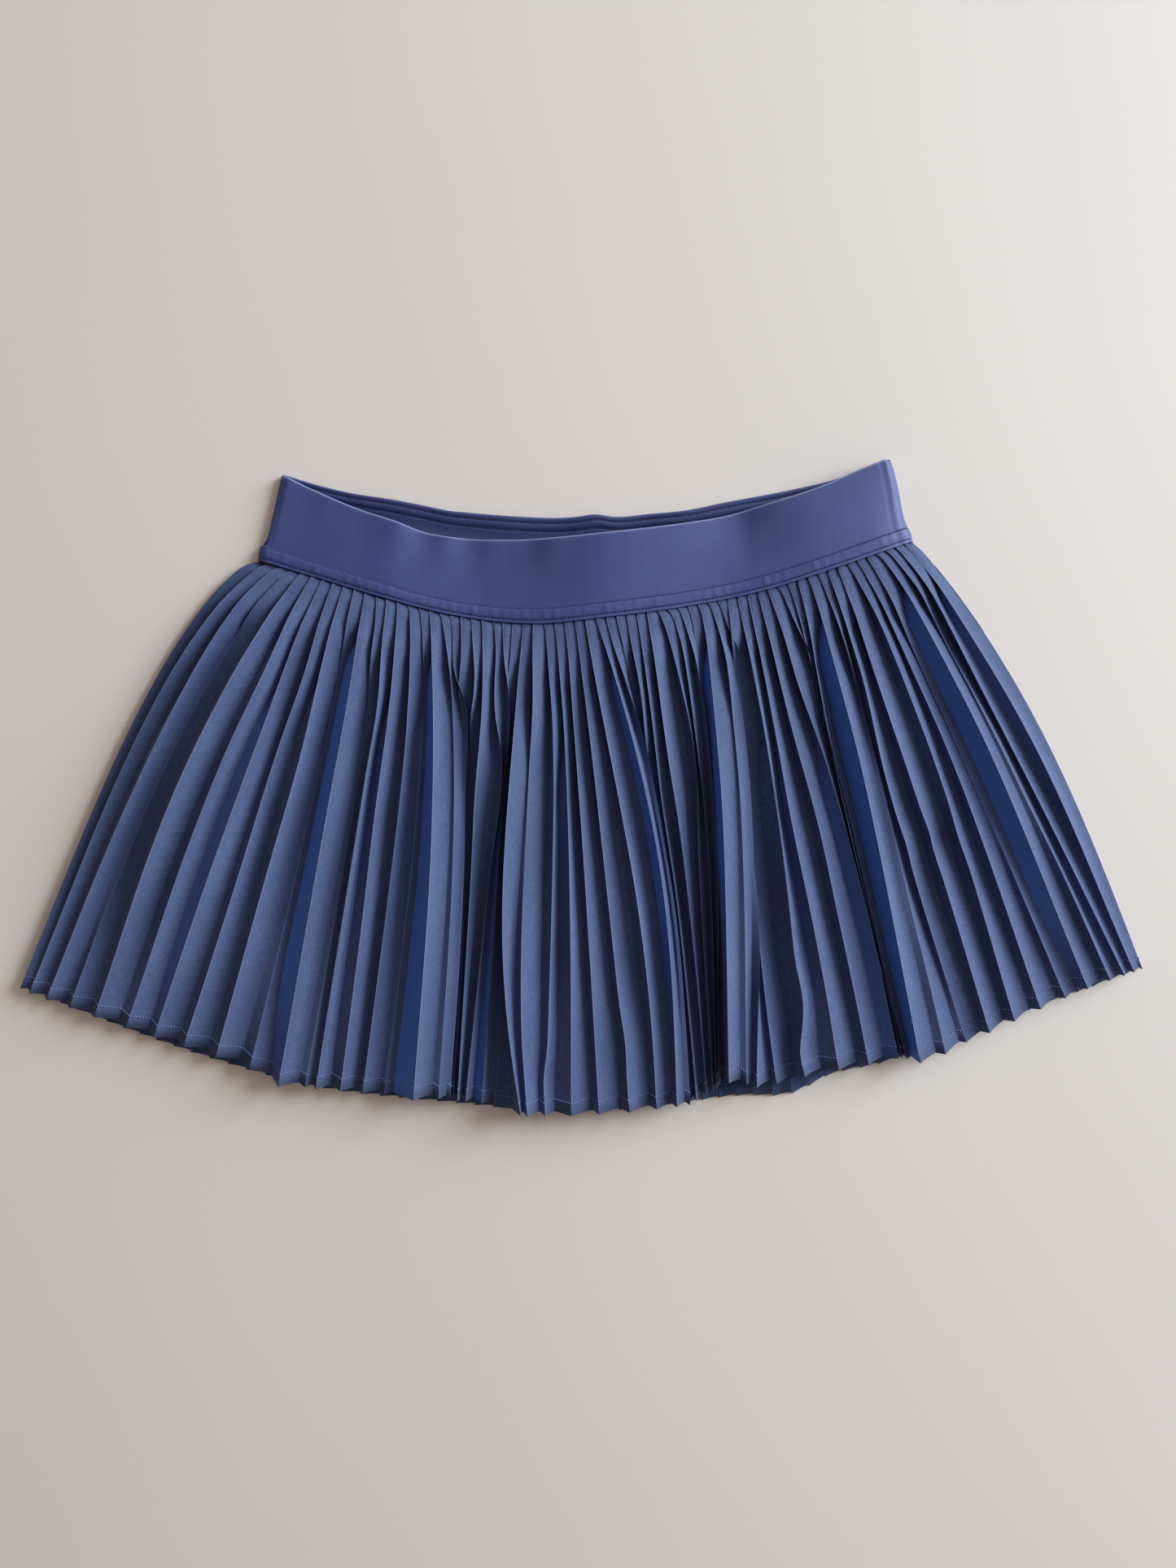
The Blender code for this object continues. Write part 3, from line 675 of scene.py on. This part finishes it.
    # The column and row of each of its points, and where its pleat lies in the ridge lines
    spot = node("ShaderNodeSeparateXYZ", node("GeometryNodeInputPosition"))
    passed = []
    for most, axis, way in ((columns, "X", "ADD"), (last_row, "Y", "SUBTRACT")):
        half = node(MATH, most, 0.5, 0.5, operation="MULTIPLY_ADD")
        from_start = node(MATH, half, spot.outputs[axis], operation=way)
        passed.append(node(MATH, from_start, operation="FLOOR"))
    at_column, at_row = passed
    in_pleats = node(MATH, at_column, steps, operation="DIVIDE")
    pleat = node(MATH, in_pleats, operation="FLOOR")
    last_pleat = node(MATH, given["Pleats"], 1.0, operation="SUBTRACT")
    pleat = node(MATH, pleat, last_pleat, operation="MINIMUM")
    passed = node(MATH, pleat, steps, operation="MULTIPLY")
    number = node(MATH, at_column, passed, operation="SUBTRACT")
    first = node(MATH, at_row, wide, pleat, operation="MULTIPLY_ADD")
    second = node(MATH, first, 1.0, operation="ADD")
    at_ridge, at_valley, next_ridge, at_rise, at_down, at_arch, at_painted_glow = [
        node(
            "GeometryNodeSampleIndex", {"Geometry": given["Ridge lines"], "Value": value, "Index": where},
            data_type=kind, domain="POINT",
        )
        for kind, value, where in (
            ("FLOAT_VECTOR", ridge, first), ("FLOAT_VECTOR", valley, first), ("FLOAT_VECTOR", ridge, second),
            ("FLOAT_VECTOR", rise, first), ("FLOAT", carried["down"], first),
            ("FLOAT", carried["arch"], first), ("FLOAT", carried["glow"], first),
        )
    ]

    # How far each point is over its face and up its return, crowded towards the folds
    on_return = node(MATH, number, given["Face steps"], operation="SUBTRACT")
    shares = []
    for steps_taken, out_of in ((number, given["Face steps"]), (on_return, given["Return steps"])):
        even = node(MATH, steps_taken, out_of, operation="DIVIDE", use_clamp=True)
        angle = node(MATH, even, 2 * math.pi, operation="MULTIPLY")
        swing = node(MATH, angle, operation="SINE")
        pull = node(MATH, given["Crowding"], -0.5 / math.pi, operation="MULTIPLY")
        shares.append(node(MATH, swing, pull, even, operation="MULTIPLY_ADD"))
    on_face = node(MIX, {0: shares[0], "A": at_ridge, "B": at_valley}, data_type="VECTOR")
    surface = node(MIX, {0: shares[1], "A": on_face, "B": next_ridge}, data_type="VECTOR")
    arch = node(MATH, shares[0], math.pi, operation="MULTIPLY")
    arch = node(MATH, arch, operation="SINE")
    arch = node(MATH, arch, at_arch, operation="MULTIPLY")
    bulge = node(VECTOR_MATH, {0: at_rise, "Scale": arch}, operation="SCALE")
    surface = node(VECTOR_MATH, surface, bulge, operation="ADD")

    # Places on the flat cloth, in metres, as its UV map
    before = node(MATH, given["Face width"], given["Return width"], operation="ADD")
    over_face = node(MATH, shares[0], given["Face width"], operation="MULTIPLY")
    flat_x = node(MATH, pleat, before, over_face, operation="MULTIPLY_ADD")
    flat_x = node(MATH, shares[1], given["Return width"], flat_x, operation="MULTIPLY_ADD")
    flat_y = node(MATH, at_down, given["Length"], operation="MULTIPLY")
    flat = node("ShaderNodeCombineXYZ", flat_x, flat_y)
    cloth = grid
    # glow: how much light through the return is painted into the cloth's colour
    for label, value, kind, domain in (
        ("flat cloth", flat, "FLOAT2", "CORNER"), ("glow", at_painted_glow, "FLOAT", "POINT"),
    ):
        cloth = node(
            "GeometryNodeStoreNamedAttribute", {"Geometry": cloth, "Name": label, "Value": value},
            data_type=kind, domain=domain,
        )
    placed = node("GeometryNodeSetPosition", {"Geometry": cloth, "Position": surface})
    finished = node("GeometryNodeSetMaterial", {"Geometry": placed, "Material": given["Cloth"]})
    node("NodeGroupOutput", finished)
    return tree


def run_tree(name, tree, mesh, **inputs):
    """A plain mesh object made by a tree from a mesh, with the tree's inputs set by their names."""
    maker = new_object(name + " maker", mesh)
    modifier = maker.modifiers.new("maker", "NODES")
    modifier.node_group = tree
    sockets = {s.name: s.identifier for s in tree.interface.items_tree if s.in_out == "INPUT"}
    for label, value in inputs.items():
        modifier[sockets[label.replace("_", " ")]] = value
    bpy.context.view_layer.update()
    result = bpy.data.meshes.new_from_object(maker.evaluated_get(bpy.context.evaluated_depsgraph_get()))
    bpy.data.objects.remove(maker)
    result.name = name
    return new_object(name, result)


def add_thickness(piece, thickness):
    """Gives a sheet its thickness on the side away from its outer face."""
    wall = piece.modifiers.new("thickness", "SOLIDIFY")
    wall.thickness = thickness * MM
    wall.offset = -1.0


def pleated_panel(name, lines, carried, ridges_up, tree, cloth):
    """A panel folded along its ridge lines, turned over where the ridges point down."""
    mesh = lines_mesh(name + " lines", lines, carried)
    piece = run_tree(name, tree, mesh, Ridges_up=ridges_up, Cloth=cloth)
    if not ridges_up:
        piece.data.flip_normals()
    piece.data.shade_smooth()
    piece.data.set_sharp_from_angle(angle=math.radians(SHARP_BEND))
    return piece


# Waistband


def band_shares():
    """Shares of the waist for the band's columns, closer together near its ends."""
    t = np.linspace(0.0, 1.0, BAND_COLUMNS + 1)
    return t - END_CROWDING * np.sin(2 * math.pi * t) / (2 * math.pi)


def groove(distance, at, depth, half_width):
    """A soft groove at a distance, or a ridge where its depth is negative."""
    return -depth * np.exp(-(((distance - at) / half_width) ** 2))


def front_relief(share, fall):
    """Relief of the front band's outer side: the strip over the pleats, its stitched lines and its lip."""
    up = (1 - fall) * BAND_HEIGHT
    strip = STRIP_RELIEF * ease((STRIP_HEIGHT + STRIP_EDGE - up) / STRIP_RISE)
    puff = STRIP_PUFF * np.sin(math.pi * np.clip((up - LIP_HEIGHT) / (STRIP_HEIGHT - LIP_HEIGHT), 0, 1))
    grooves = sum(groove(up, *line) for line in FRONT_GROOVES)
    seed, tallest, half_width, rise = PLEAT_BUMPS
    random = np.random.default_rng(seed)
    edges = pleat_share(np.arange(PLEATS + 1) + BUMP_BESIDE)
    bumps = np.zeros_like(share)
    for edge, height in zip(edges, random.uniform(0.0, tallest, PLEATS + 1)):
        bumps += height * np.exp(-(((share - edge) / half_width) ** 2))
    within = ease((up - LIP_HEIGHT) / rise) * ease((STRIP_HEIGHT - up) / rise)
    return strip + puff + grooves + bumps * within + groove(share, *SIDE_CREASE)


def back_relief(fall):
    """Relief of the back band's inner side, where its top edge shows: two stitched lines and a ridge."""
    return sum(groove(fall * BAND_HEIGHT, *line) for line in (*BACK_GROOVES, BACK_RIDGE))


def band_lift(share, fall):
    """How far the front band stands above its flat ends."""
    x = along(FRONT_TOP, share)
    waves = curve(BAND_LIFT, x) * (1 - fall) + curve(SEAM_LIFT, share) * fall
    return np.maximum(waves, 0.0) + curve(BAND_RIPPLES, x) * (1 - ease(fall / RIPPLES_GONE_AT))


def band_row(edge, fall, inset, facing):
    """One line along the band, set in from its outside: facing is 1 for the front, -1 for the back."""
    share = band_shares()
    x_top = along(edge, share)
    y_top = curve(edge, x_top)
    foot = seam_place(share)
    left, right = straight(BAND_ENDS, fall, 1), straight(BAND_ENDS, fall, 2)
    row = np.zeros((len(share), 3))
    row[:, 0] = left + BAND_END_RADIUS + (right - left - 2 * BAND_END_RADIUS) * share
    row[:, 1] = y_top + (foot[:, 1] + SEAM_GAP - y_top) * fall
    radius = BAND_END_RADIUS - inset
    ends = ease(np.minimum(share, 1 - share) / END_FLATTENING)
    row[:, 2] = BAND_END_RADIUS + facing * radius
    if facing > 0:
        row[:, 2] += (band_lift(share, fall) + front_relief(share, fall) * (1 - inset / BAND_CLOTH)) * ends
    else:
        curl = curve(BACK_CURL, x_top) * (1 - ease(fall * BAND_HEIGHT / BACK_CURL_DEPTH))
        row[:, 2] += (curl + back_relief(fall) * inset / BAND_CLOTH) * ends
    turn = np.linspace(math.pi / 2, 0.0, END_TURNS, endpoint=False)
    curls = []
    for end, way in ((row[0], -1.0), (row[-1], 1.0)):
        curl = np.repeat(end[None], len(turn), axis=0)
        curl[:, 0] += way * radius * np.sin(turn)
        curl[:, 2] = BAND_END_RADIUS + facing * radius * np.cos(turn)
        curls.append(curl)
    return np.vstack([curls[0], row, curls[1][::-1]])


def band_profile(outer, inner):
    """Round the band's section: down its outer side, up its inner side and over its top fold.

    Each row is a share of the band's height, from its top edge, and how far in from its outside it lies.
    """
    half = BAND_CLOTH / 2
    rows = [(fall, 0.0) for fall in outer] + [(fall, BAND_CLOTH) for fall in inner]
    for turn in np.linspace(math.pi, 0.0, FOLD_TURNS)[1:-1]:
        rows.append(((half - half * math.sin(turn)) / BAND_HEIGHT, half * (1 - math.cos(turn))))
    return rows


def front_profile():
    """The front band's rows, closer together round its stitched strip."""
    plain = np.linspace(TOP_FOLD, FINE_FROM, PLAIN_ROWS, endpoint=False)
    fine = np.linspace(FINE_FROM, 1.0, FINE_ROWS)
    return band_profile(np.append(plain, fine), np.linspace(1.0, TOP_FOLD, HIDDEN_ROWS))


def back_profile():
    """The back band's rows, closer together near its top edge, where its inner side shows."""
    plain = np.linspace(1.0, BACK_FINE_TO, BACK_PLAIN_ROWS, endpoint=False)
    fine = np.linspace(BACK_FINE_TO, TOP_FOLD, BACK_FINE_ROWS)
    return band_profile(np.linspace(TOP_FOLD, 1.0, BACK_PLAIN_ROWS), np.append(plain, fine))


def lofted_ring(name, rows, falls, material):
    """A closed body from lines that follow one another round its section, with places on the flat cloth."""
    rings, columns = rows.shape[:2]
    faces = []
    for r in range(rings):
        below = ((r + 1) % rings) * columns
        for c in range(columns - 1):
            faces.append((r * columns + c, below + c, below + c + 1, r * columns + c + 1))
    faces.append([r * columns for r in reversed(range(rings))])
    faces.append([r * columns + columns - 1 for r in range(rings)])
    mesh = bpy.data.meshes.new(name)
    mesh.from_pydata(metres(rows).reshape(-1, 3).tolist(), [], faces)
    mesh.shade_smooth()
    mesh.materials.append(material)
    flat = mesh.uv_layers.new(name="flat cloth")
    spots = np.stack([rows[..., 0], np.repeat(falls[:, None], columns, axis=1)], axis=-1).reshape(-1, 2) * MM
    corners = np.empty(len(mesh.loops), np.int32)
    mesh.loops.foreach_get("vertex_index", corners)
    flat.data.foreach_set("uv", spots[corners].astype(np.float32).ravel())
    return new_object(name, mesh)


def band_piece(name, edge, profile, facing, cloth):
    """One side of the waistband, folded double over its top edge."""
    rows = np.array([band_row(edge, fall, inset, facing) for fall, inset in profile])
    falls = np.array([fall * BAND_HEIGHT for fall, _ in profile])
    if facing < 0:
        rows, falls = rows[::-1], falls[::-1]
    return lofted_ring(name, rows, falls, cloth)


# Stitches


def stitching_tree():
    """Geometry Nodes that sew stitches along a line. The thread of 0.4 mm is drawn twice as thick."""
    tree, node, given = geometry_tree("stitches", "Line", "Stitches", (
        ("Pitch", "Float", 0.0018), ("Stitch length", "Float", 0.0014), ("Thread", "Float", 0.0008),
        ("Thread finish", "Material", None),
    ))
    line = node("GeometryNodeMeshToCurve", given["Line"])
    even = node("GeometryNodeResampleCurve", {"Curve": line, "Length": given["Pitch"]}, mode="LENGTH")
    ball = node("GeometryNodeMeshUVSphere", {"Segments": 6, "Rings": 4, "Radius": 0.5})
    size = node("ShaderNodeCombineXYZ", given["Stitch length"], given["Thread"], given["Thread"])
    stitch = node("GeometryNodeTransform", {"Geometry": ball, "Scale": size})
    turned = node("FunctionNodeAlignRotationToVector", {"Vector": node("GeometryNodeInputTangent")}, axis="X")
    sewn = node("GeometryNodeInstanceOnPoints", {"Points": even, "Instance": stitch, "Rotation": turned})
    solid = node("GeometryNodeRealizeInstances", sewn)
    rounded = node("GeometryNodeSetShadeSmooth", solid)
    finished = node("GeometryNodeSetMaterial", {"Geometry": rounded, "Material": given["Thread finish"]})
    node("NodeGroupOutput", finished)
    return tree


def sew(name, tree, lines, thread):
    """Stitches along one or more lines of points, in metres in the skirt's frame."""
    points, edges = [], []
    for line in lines:
        first = len(points)
        points += [tuple(p) for p in line]
        edges += [(first + i, first + i + 1) for i in range(len(line) - 1)]
    mesh = bpy.data.meshes.new(name + " line")
    mesh.from_pydata(points, edges, [])
    return run_tree(name, tree, mesh, Thread_finish=thread)


def band_stitch_line(edge, up, inset, facing, raised):
    """A line along the band, at a height above the seam, raised to carry a thread."""
    row = band_row(edge, 1 - up / BAND_HEIGHT, inset, facing)
    return metres(row[END_TURNS:-END_TURNS] + (0.0, 0.0, raised))


def hem_stitch_line(panel):
    """The panel's row of points under the hem's stitches."""
    points = np.empty(len(panel.data.vertices) * 3, np.float32)
    panel.data.vertices.foreach_get("co", points)
    row = PANEL_ROWS - 1 - int(np.argmin(abs(panel_downs() - HEM_STITCHES_AT)))
    line = points.reshape(-1, PANEL_ROWS, 3)[:, row].astype(float)
    line[:, 2] += THREAD_RAISED * MM
    return line


# Finishes


def new_material(name):
    """A material, and what adds its nodes."""
    material = bpy.data.materials.new(name)
    material.use_nodes = True
    material.node_tree.nodes.clear()
    return material, partial(add, material.node_tree)


def woven_polyester():
    """Plain weave of fine spun polyester, pressed into pleats.

    It is matt and a little furry at a low angle, with thicker yarns here and there. Painted into its colour
    are long darker streaks down the pleats, painted shade of faces that turn from the light; a lighter line
    along each fold, partly wear and partly a painted highlight where the fold catches the light; and a
    painted bluer light on the returns where daylight shines through. The yarns of 0.2 mm are drawn about
    0.8 mm apart.
    """
    material, node = new_material("woven polyester")
    place = node("ShaderNodeUVMap", uv_map="flat cloth")
    across = node("ShaderNodeSeparateXYZ", place).outputs["X"]
    drawn = []
    for scales in ((1300.0, 160.0, 1.0), (220.0, 1200.0, 1.0), (75.0, 7.0, 1.0)):
        stretched = node("ShaderNodeMapping", {"Vector": place, "Scale": scales})
        drawn.append(node(NOISE, {"Vector": stretched, "Scale": 1.0, "Detail": 1.0}).outputs["Fac"])
    warp, weft, streaks = drawn
    yarns = node(MATH, warp, weft, operation="ADD")
    yarns = node(MAP_RANGE, {"Value": yarns, "From Min": 0.7, "From Max": 1.3})
    woven = node(
        MIX, {"Factor": yarns, "A": hex_colour("#4c5f8c"), "B": hex_colour("#667cac")}, data_type="RGBA"
    )
    cloud = node(NOISE, {"Vector": place, "Scale": 25.0, "Detail": 3.0})
    colour = node(
        MIX, {"Factor": cloud.outputs["Fac"], "A": hex_colour("#4e628f"), "B": woven.outputs["Result"]},
        data_type="RGBA",
    )
    # Long darker streaks down the pleats: painted shade of faces that turn from the light
    painted_shade_streaks = node(
        MAP_RANGE, {"Value": streaks, "From Min": 0.3, "From Max": 0.7, "To Min": 0.42, "To Max": 0.0}
    )
    pitch = (FACE_WIDTH + RETURN_WIDTH) * MM
    in_pleat = node(MATH, across, 0.0, pitch, operation="WRAP")
    fold = FACE_WIDTH * MM
    on_return = node(MAP_RANGE, {"Value": in_pleat, "From Min": fold, "From Max": fold + 0.4 * MM})
    glow = node("ShaderNodeAttribute", attribute_name="glow", attribute_type="GEOMETRY").outputs["Fac"]
    # Returns painted a bluer colour: painted light shining through them
    painted_through_light = node(MATH, on_return, glow, operation="MULTIPLY")
    # A lighter line along each ridge: partly wear, partly a painted highlight where the fold catches the
    # light
    from_fold = node(MATH, across, pitch / 2, operation="PINGPONG")
    wear_and_highlight = node(MAP_RANGE, {"Value": from_fold, "From Max": 0.0006, "To Min": 0.45, "To Max": 0.0})
    for share, code in ((painted_shade_streaks, "#37476f"), (painted_through_light, "#5b8cee"), (wear_and_highlight, "#8b9bc0")):
        colour = node(MIX, {"Factor": share, "A": colour, "B": hex_colour(code)}, data_type="RGBA")
    bump = node("ShaderNodeBump", {"Strength": 0.3, "Distance": 0.0003, "Height": yarns})
    cloth = node(PRINCIPLED, {
        "Base Color": colour, "Roughness": 0.85, "Normal": bump, "Sheen Weight": 0.12, "Sheen Roughness": 0.5,
    })
    through = node("ShaderNodeBsdfTranslucent", {"Color": hex_colour("#3358a8"), "Normal": bump})
    both = node("ShaderNodeMixShader", {"Fac": 0.22, 1: cloth, 2: through})
    node("ShaderNodeOutputMaterial", both)
    return material


def double_knit(name, dark, light, edge):
    """Double knit of nylon and elastane: smooth and slightly violet, with a faint sheen.

    A lighter line along the top edge is a painted highlight where the fold catches the light. Its wales
    of 0.8 mm are drawn 1.6 mm apart.
    """
    material, node = new_material(name)
    place = node("ShaderNodeUVMap", uv_map="flat cloth")
    wales = node(
        "ShaderNodeTexWave", {"Vector": place, "Scale": 200.0, "Distortion": 0.6, "Detail": 1.0},
        wave_type="BANDS", bands_direction="X",
    )
    cloud = node(NOISE, {"Vector": place, "Scale": 60.0, "Detail": 3.0}).outputs["Fac"]
    colour = node(MIX, {"Factor": cloud, "A": hex_colour(dark), "B": hex_colour(light)}, data_type="RGBA")
    fall = node("ShaderNodeSeparateXYZ", place).outputs["Y"]
    # Painted highlight along the top fold
    painted_rim_highlight = node(MAP_RANGE, {
        "Value": fall, "From Min": 0.0004, "From Max": 0.0014, "To Min": 0.75, "To Max": 0.0,
    })
    colour = node(MIX, {"Factor": painted_rim_highlight, "A": colour, "B": hex_colour(edge)}, data_type="RGBA")
    bump = node("ShaderNodeBump", {"Strength": 0.06, "Distance": 0.0002, "Height": wales.outputs["Fac"]})
    cloth = node(PRINCIPLED, {
        "Base Color": colour, "Roughness": 0.6, "Normal": bump, "Sheen Weight": 0.2, "Sheen Roughness": 0.4,
    })
    node("ShaderNodeOutputMaterial", cloth)
    return material


def polyester_thread(name, code):
    """Spun polyester thread in the cloth's colour, twisted every 0.3 mm, so that its shine breaks up."""
    material, node = new_material(name)
    place = node("ShaderNodeTexCoord")
    twist = node(NOISE, {"Vector": place.outputs["Object"], "Scale": 3000.0}).outputs["Fac"]
    bump = node("ShaderNodeBump", {"Strength": 0.3, "Distance": 0.0001, "Height": twist})
    thread = node(PRINCIPLED, {"Base Color": hex_colour(code), "Roughness": 0.6, "Normal": bump})
    node("ShaderNodeOutputMaterial", thread)
    return material


def painted_board():
    """Plain pale surface under the skirt: matt paint with hardly any grain."""
    material, node = new_material("matt painted board")
    place = node("ShaderNodeTexCoord")
    cloud = node(NOISE, {"Vector": place.outputs["Object"], "Scale": 3.0}).outputs["Fac"]
    colour = node(
        MIX, {"Factor": cloud, "A": hex_colour("#e1dfdd"), "B": hex_colour("#e6e4e2")}, data_type="RGBA"
    )
    board = node(PRINCIPLED, {"Base Color": colour, "Roughness": 0.7})
    node("ShaderNodeOutputMaterial", board)
    return material


# Studio


def floor():
    """The board that the skirt lies on."""
    bpy.ops.mesh.primitive_plane_add(size=8.0)
    board = bpy.context.object
    board.name = "floor"
    board.data.materials.append(painted_board())


def studio():
    """Soft daylight from a window at the right and a little from all round, least from the left and above."""
    floor()
    light = bpy.data.lights.new("window", "AREA")
    light.shape = "DISK"
    light.size = 1.9
    light.energy = 152.0
    light.color = hex_colour("#f4faff")[:3]
    window = new_object("window", light)
    window.location = (2.75, 1.2, 1.2)
    window.rotation_euler = (-window.location).to_track_quat("-Z", "Y").to_euler()
    world = bpy.data.worlds.new("room")
    world.use_nodes = True
    node = partial(add, world.node_tree)
    way = node("ShaderNodeTexCoord").outputs["Generated"]
    towards = node(VECTOR_MATH, way, BRIGHTEST_WAY, operation="DOT_PRODUCT").outputs["Value"]
    strength = node(MAP_RANGE, {"Value": towards, "From Min": -1.0, "To Min": 0.08, "To Max": 0.95})
    glow = world.node_tree.nodes["Background"].inputs
    glow["Color"].default_value = hex_colour("#f6e2d0")
    world.node_tree.links.new(strength.outputs["Result"], glow["Strength"])
    bpy.context.scene.world = world
    view = bpy.context.scene.view_settings
    view.view_transform = "Standard"
    view.use_curve_mapping = True
    tones = view.curve_mapping.curves[3]
    for met, shown in TONE_CURVE:
        tones.points.new(met, shown)
    view.curve_mapping.update()


def camera():
    """The photograph's view: straight down over the middle of its frame."""
    eye = bpy.data.cameras.new("camera")
    eye.sensor_fit = "VERTICAL"
    eye.angle_y = 2 * math.atan(0.5 * PHOTO_HEIGHT * MM_A_PIXEL / EYE_HEIGHT)
    eye.clip_start = 0.01
    holder = new_object("camera", eye)
    holder.location = metres((0.0, 0.0, EYE_HEIGHT))
    bpy.context.scene.camera = holder


def main():
    studio()
    camera()
    polyester = woven_polyester()
    knit = double_knit("double knit", "#3c4a83", "#45548f", "#8d97c4")
    # The back band's knit in darker colours: painted shade on its inner side
    shaded_knit = double_knit("double knit, painted shade", "#323e6c", "#3a4777", "#4a578c")
    # The band's thread is darkened: painted shade of stitches sunk into the knit
    shaded_band_thread = polyester_thread("spun polyester thread, painted shade", "#1c2450")
    hem_thread = polyester_thread("spun polyester thread, light", "#6c80b0")

    pleating = pleating_tree()
    front = pleated_panel("front_panel", *front_lines(), 1.0, pleating, polyester)
    back = pleated_panel("back_panel", *back_lines(), 0.0, pleating, polyester)
    band_front = band_piece("band_front", FRONT_TOP, front_profile(), 1, knit)
    band_back = band_piece("band_back", BACK_TOP_EDGE, back_profile(), -1, shaded_knit)

    sewing = stitching_tree()
    front_rows = [band_stitch_line(FRONT_TOP, up, 0.0, 1, FRONT_THREAD_RAISED) for up, *_ in FRONT_GROOVES]
    back_rows = [
        band_stitch_line(BACK_TOP_EDGE, BAND_HEIGHT - down, BAND_CLOTH, -1, THREAD_RAISED)
        for down, *_ in BACK_GROOVES
    ]
    front_stitches = sew("band_front_stitches", sewing, front_rows, shaded_band_thread)
    back_stitches = sew("band_back_stitches", sewing, back_rows, shaded_band_thread)
    front_hem = sew("front_hem_stitches", sewing, [hem_stitch_line(front)], hem_thread)
    back_hem = sew("back_hem_stitches", sewing, [hem_stitch_line(back)], hem_thread)

    add_thickness(front, PANEL_CLOTH)
    add_thickness(back, PANEL_CLOTH)
    for piece, slot in (
        (front, "pleat_cloth"), (back, "pleat_cloth"), (band_front, "band_cloth"), (band_back, "band_cloth"),
        (front_stitches, "band_cloth"), (back_stitches, "band_cloth"), (front_hem, "pleat_cloth"),
        (back_hem, "pleat_cloth"),
    ):
        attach(piece, "root")
    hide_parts("skirt_front")
    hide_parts("skirt_back")
    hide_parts("waistband_front")
    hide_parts("waistband_back")


main()
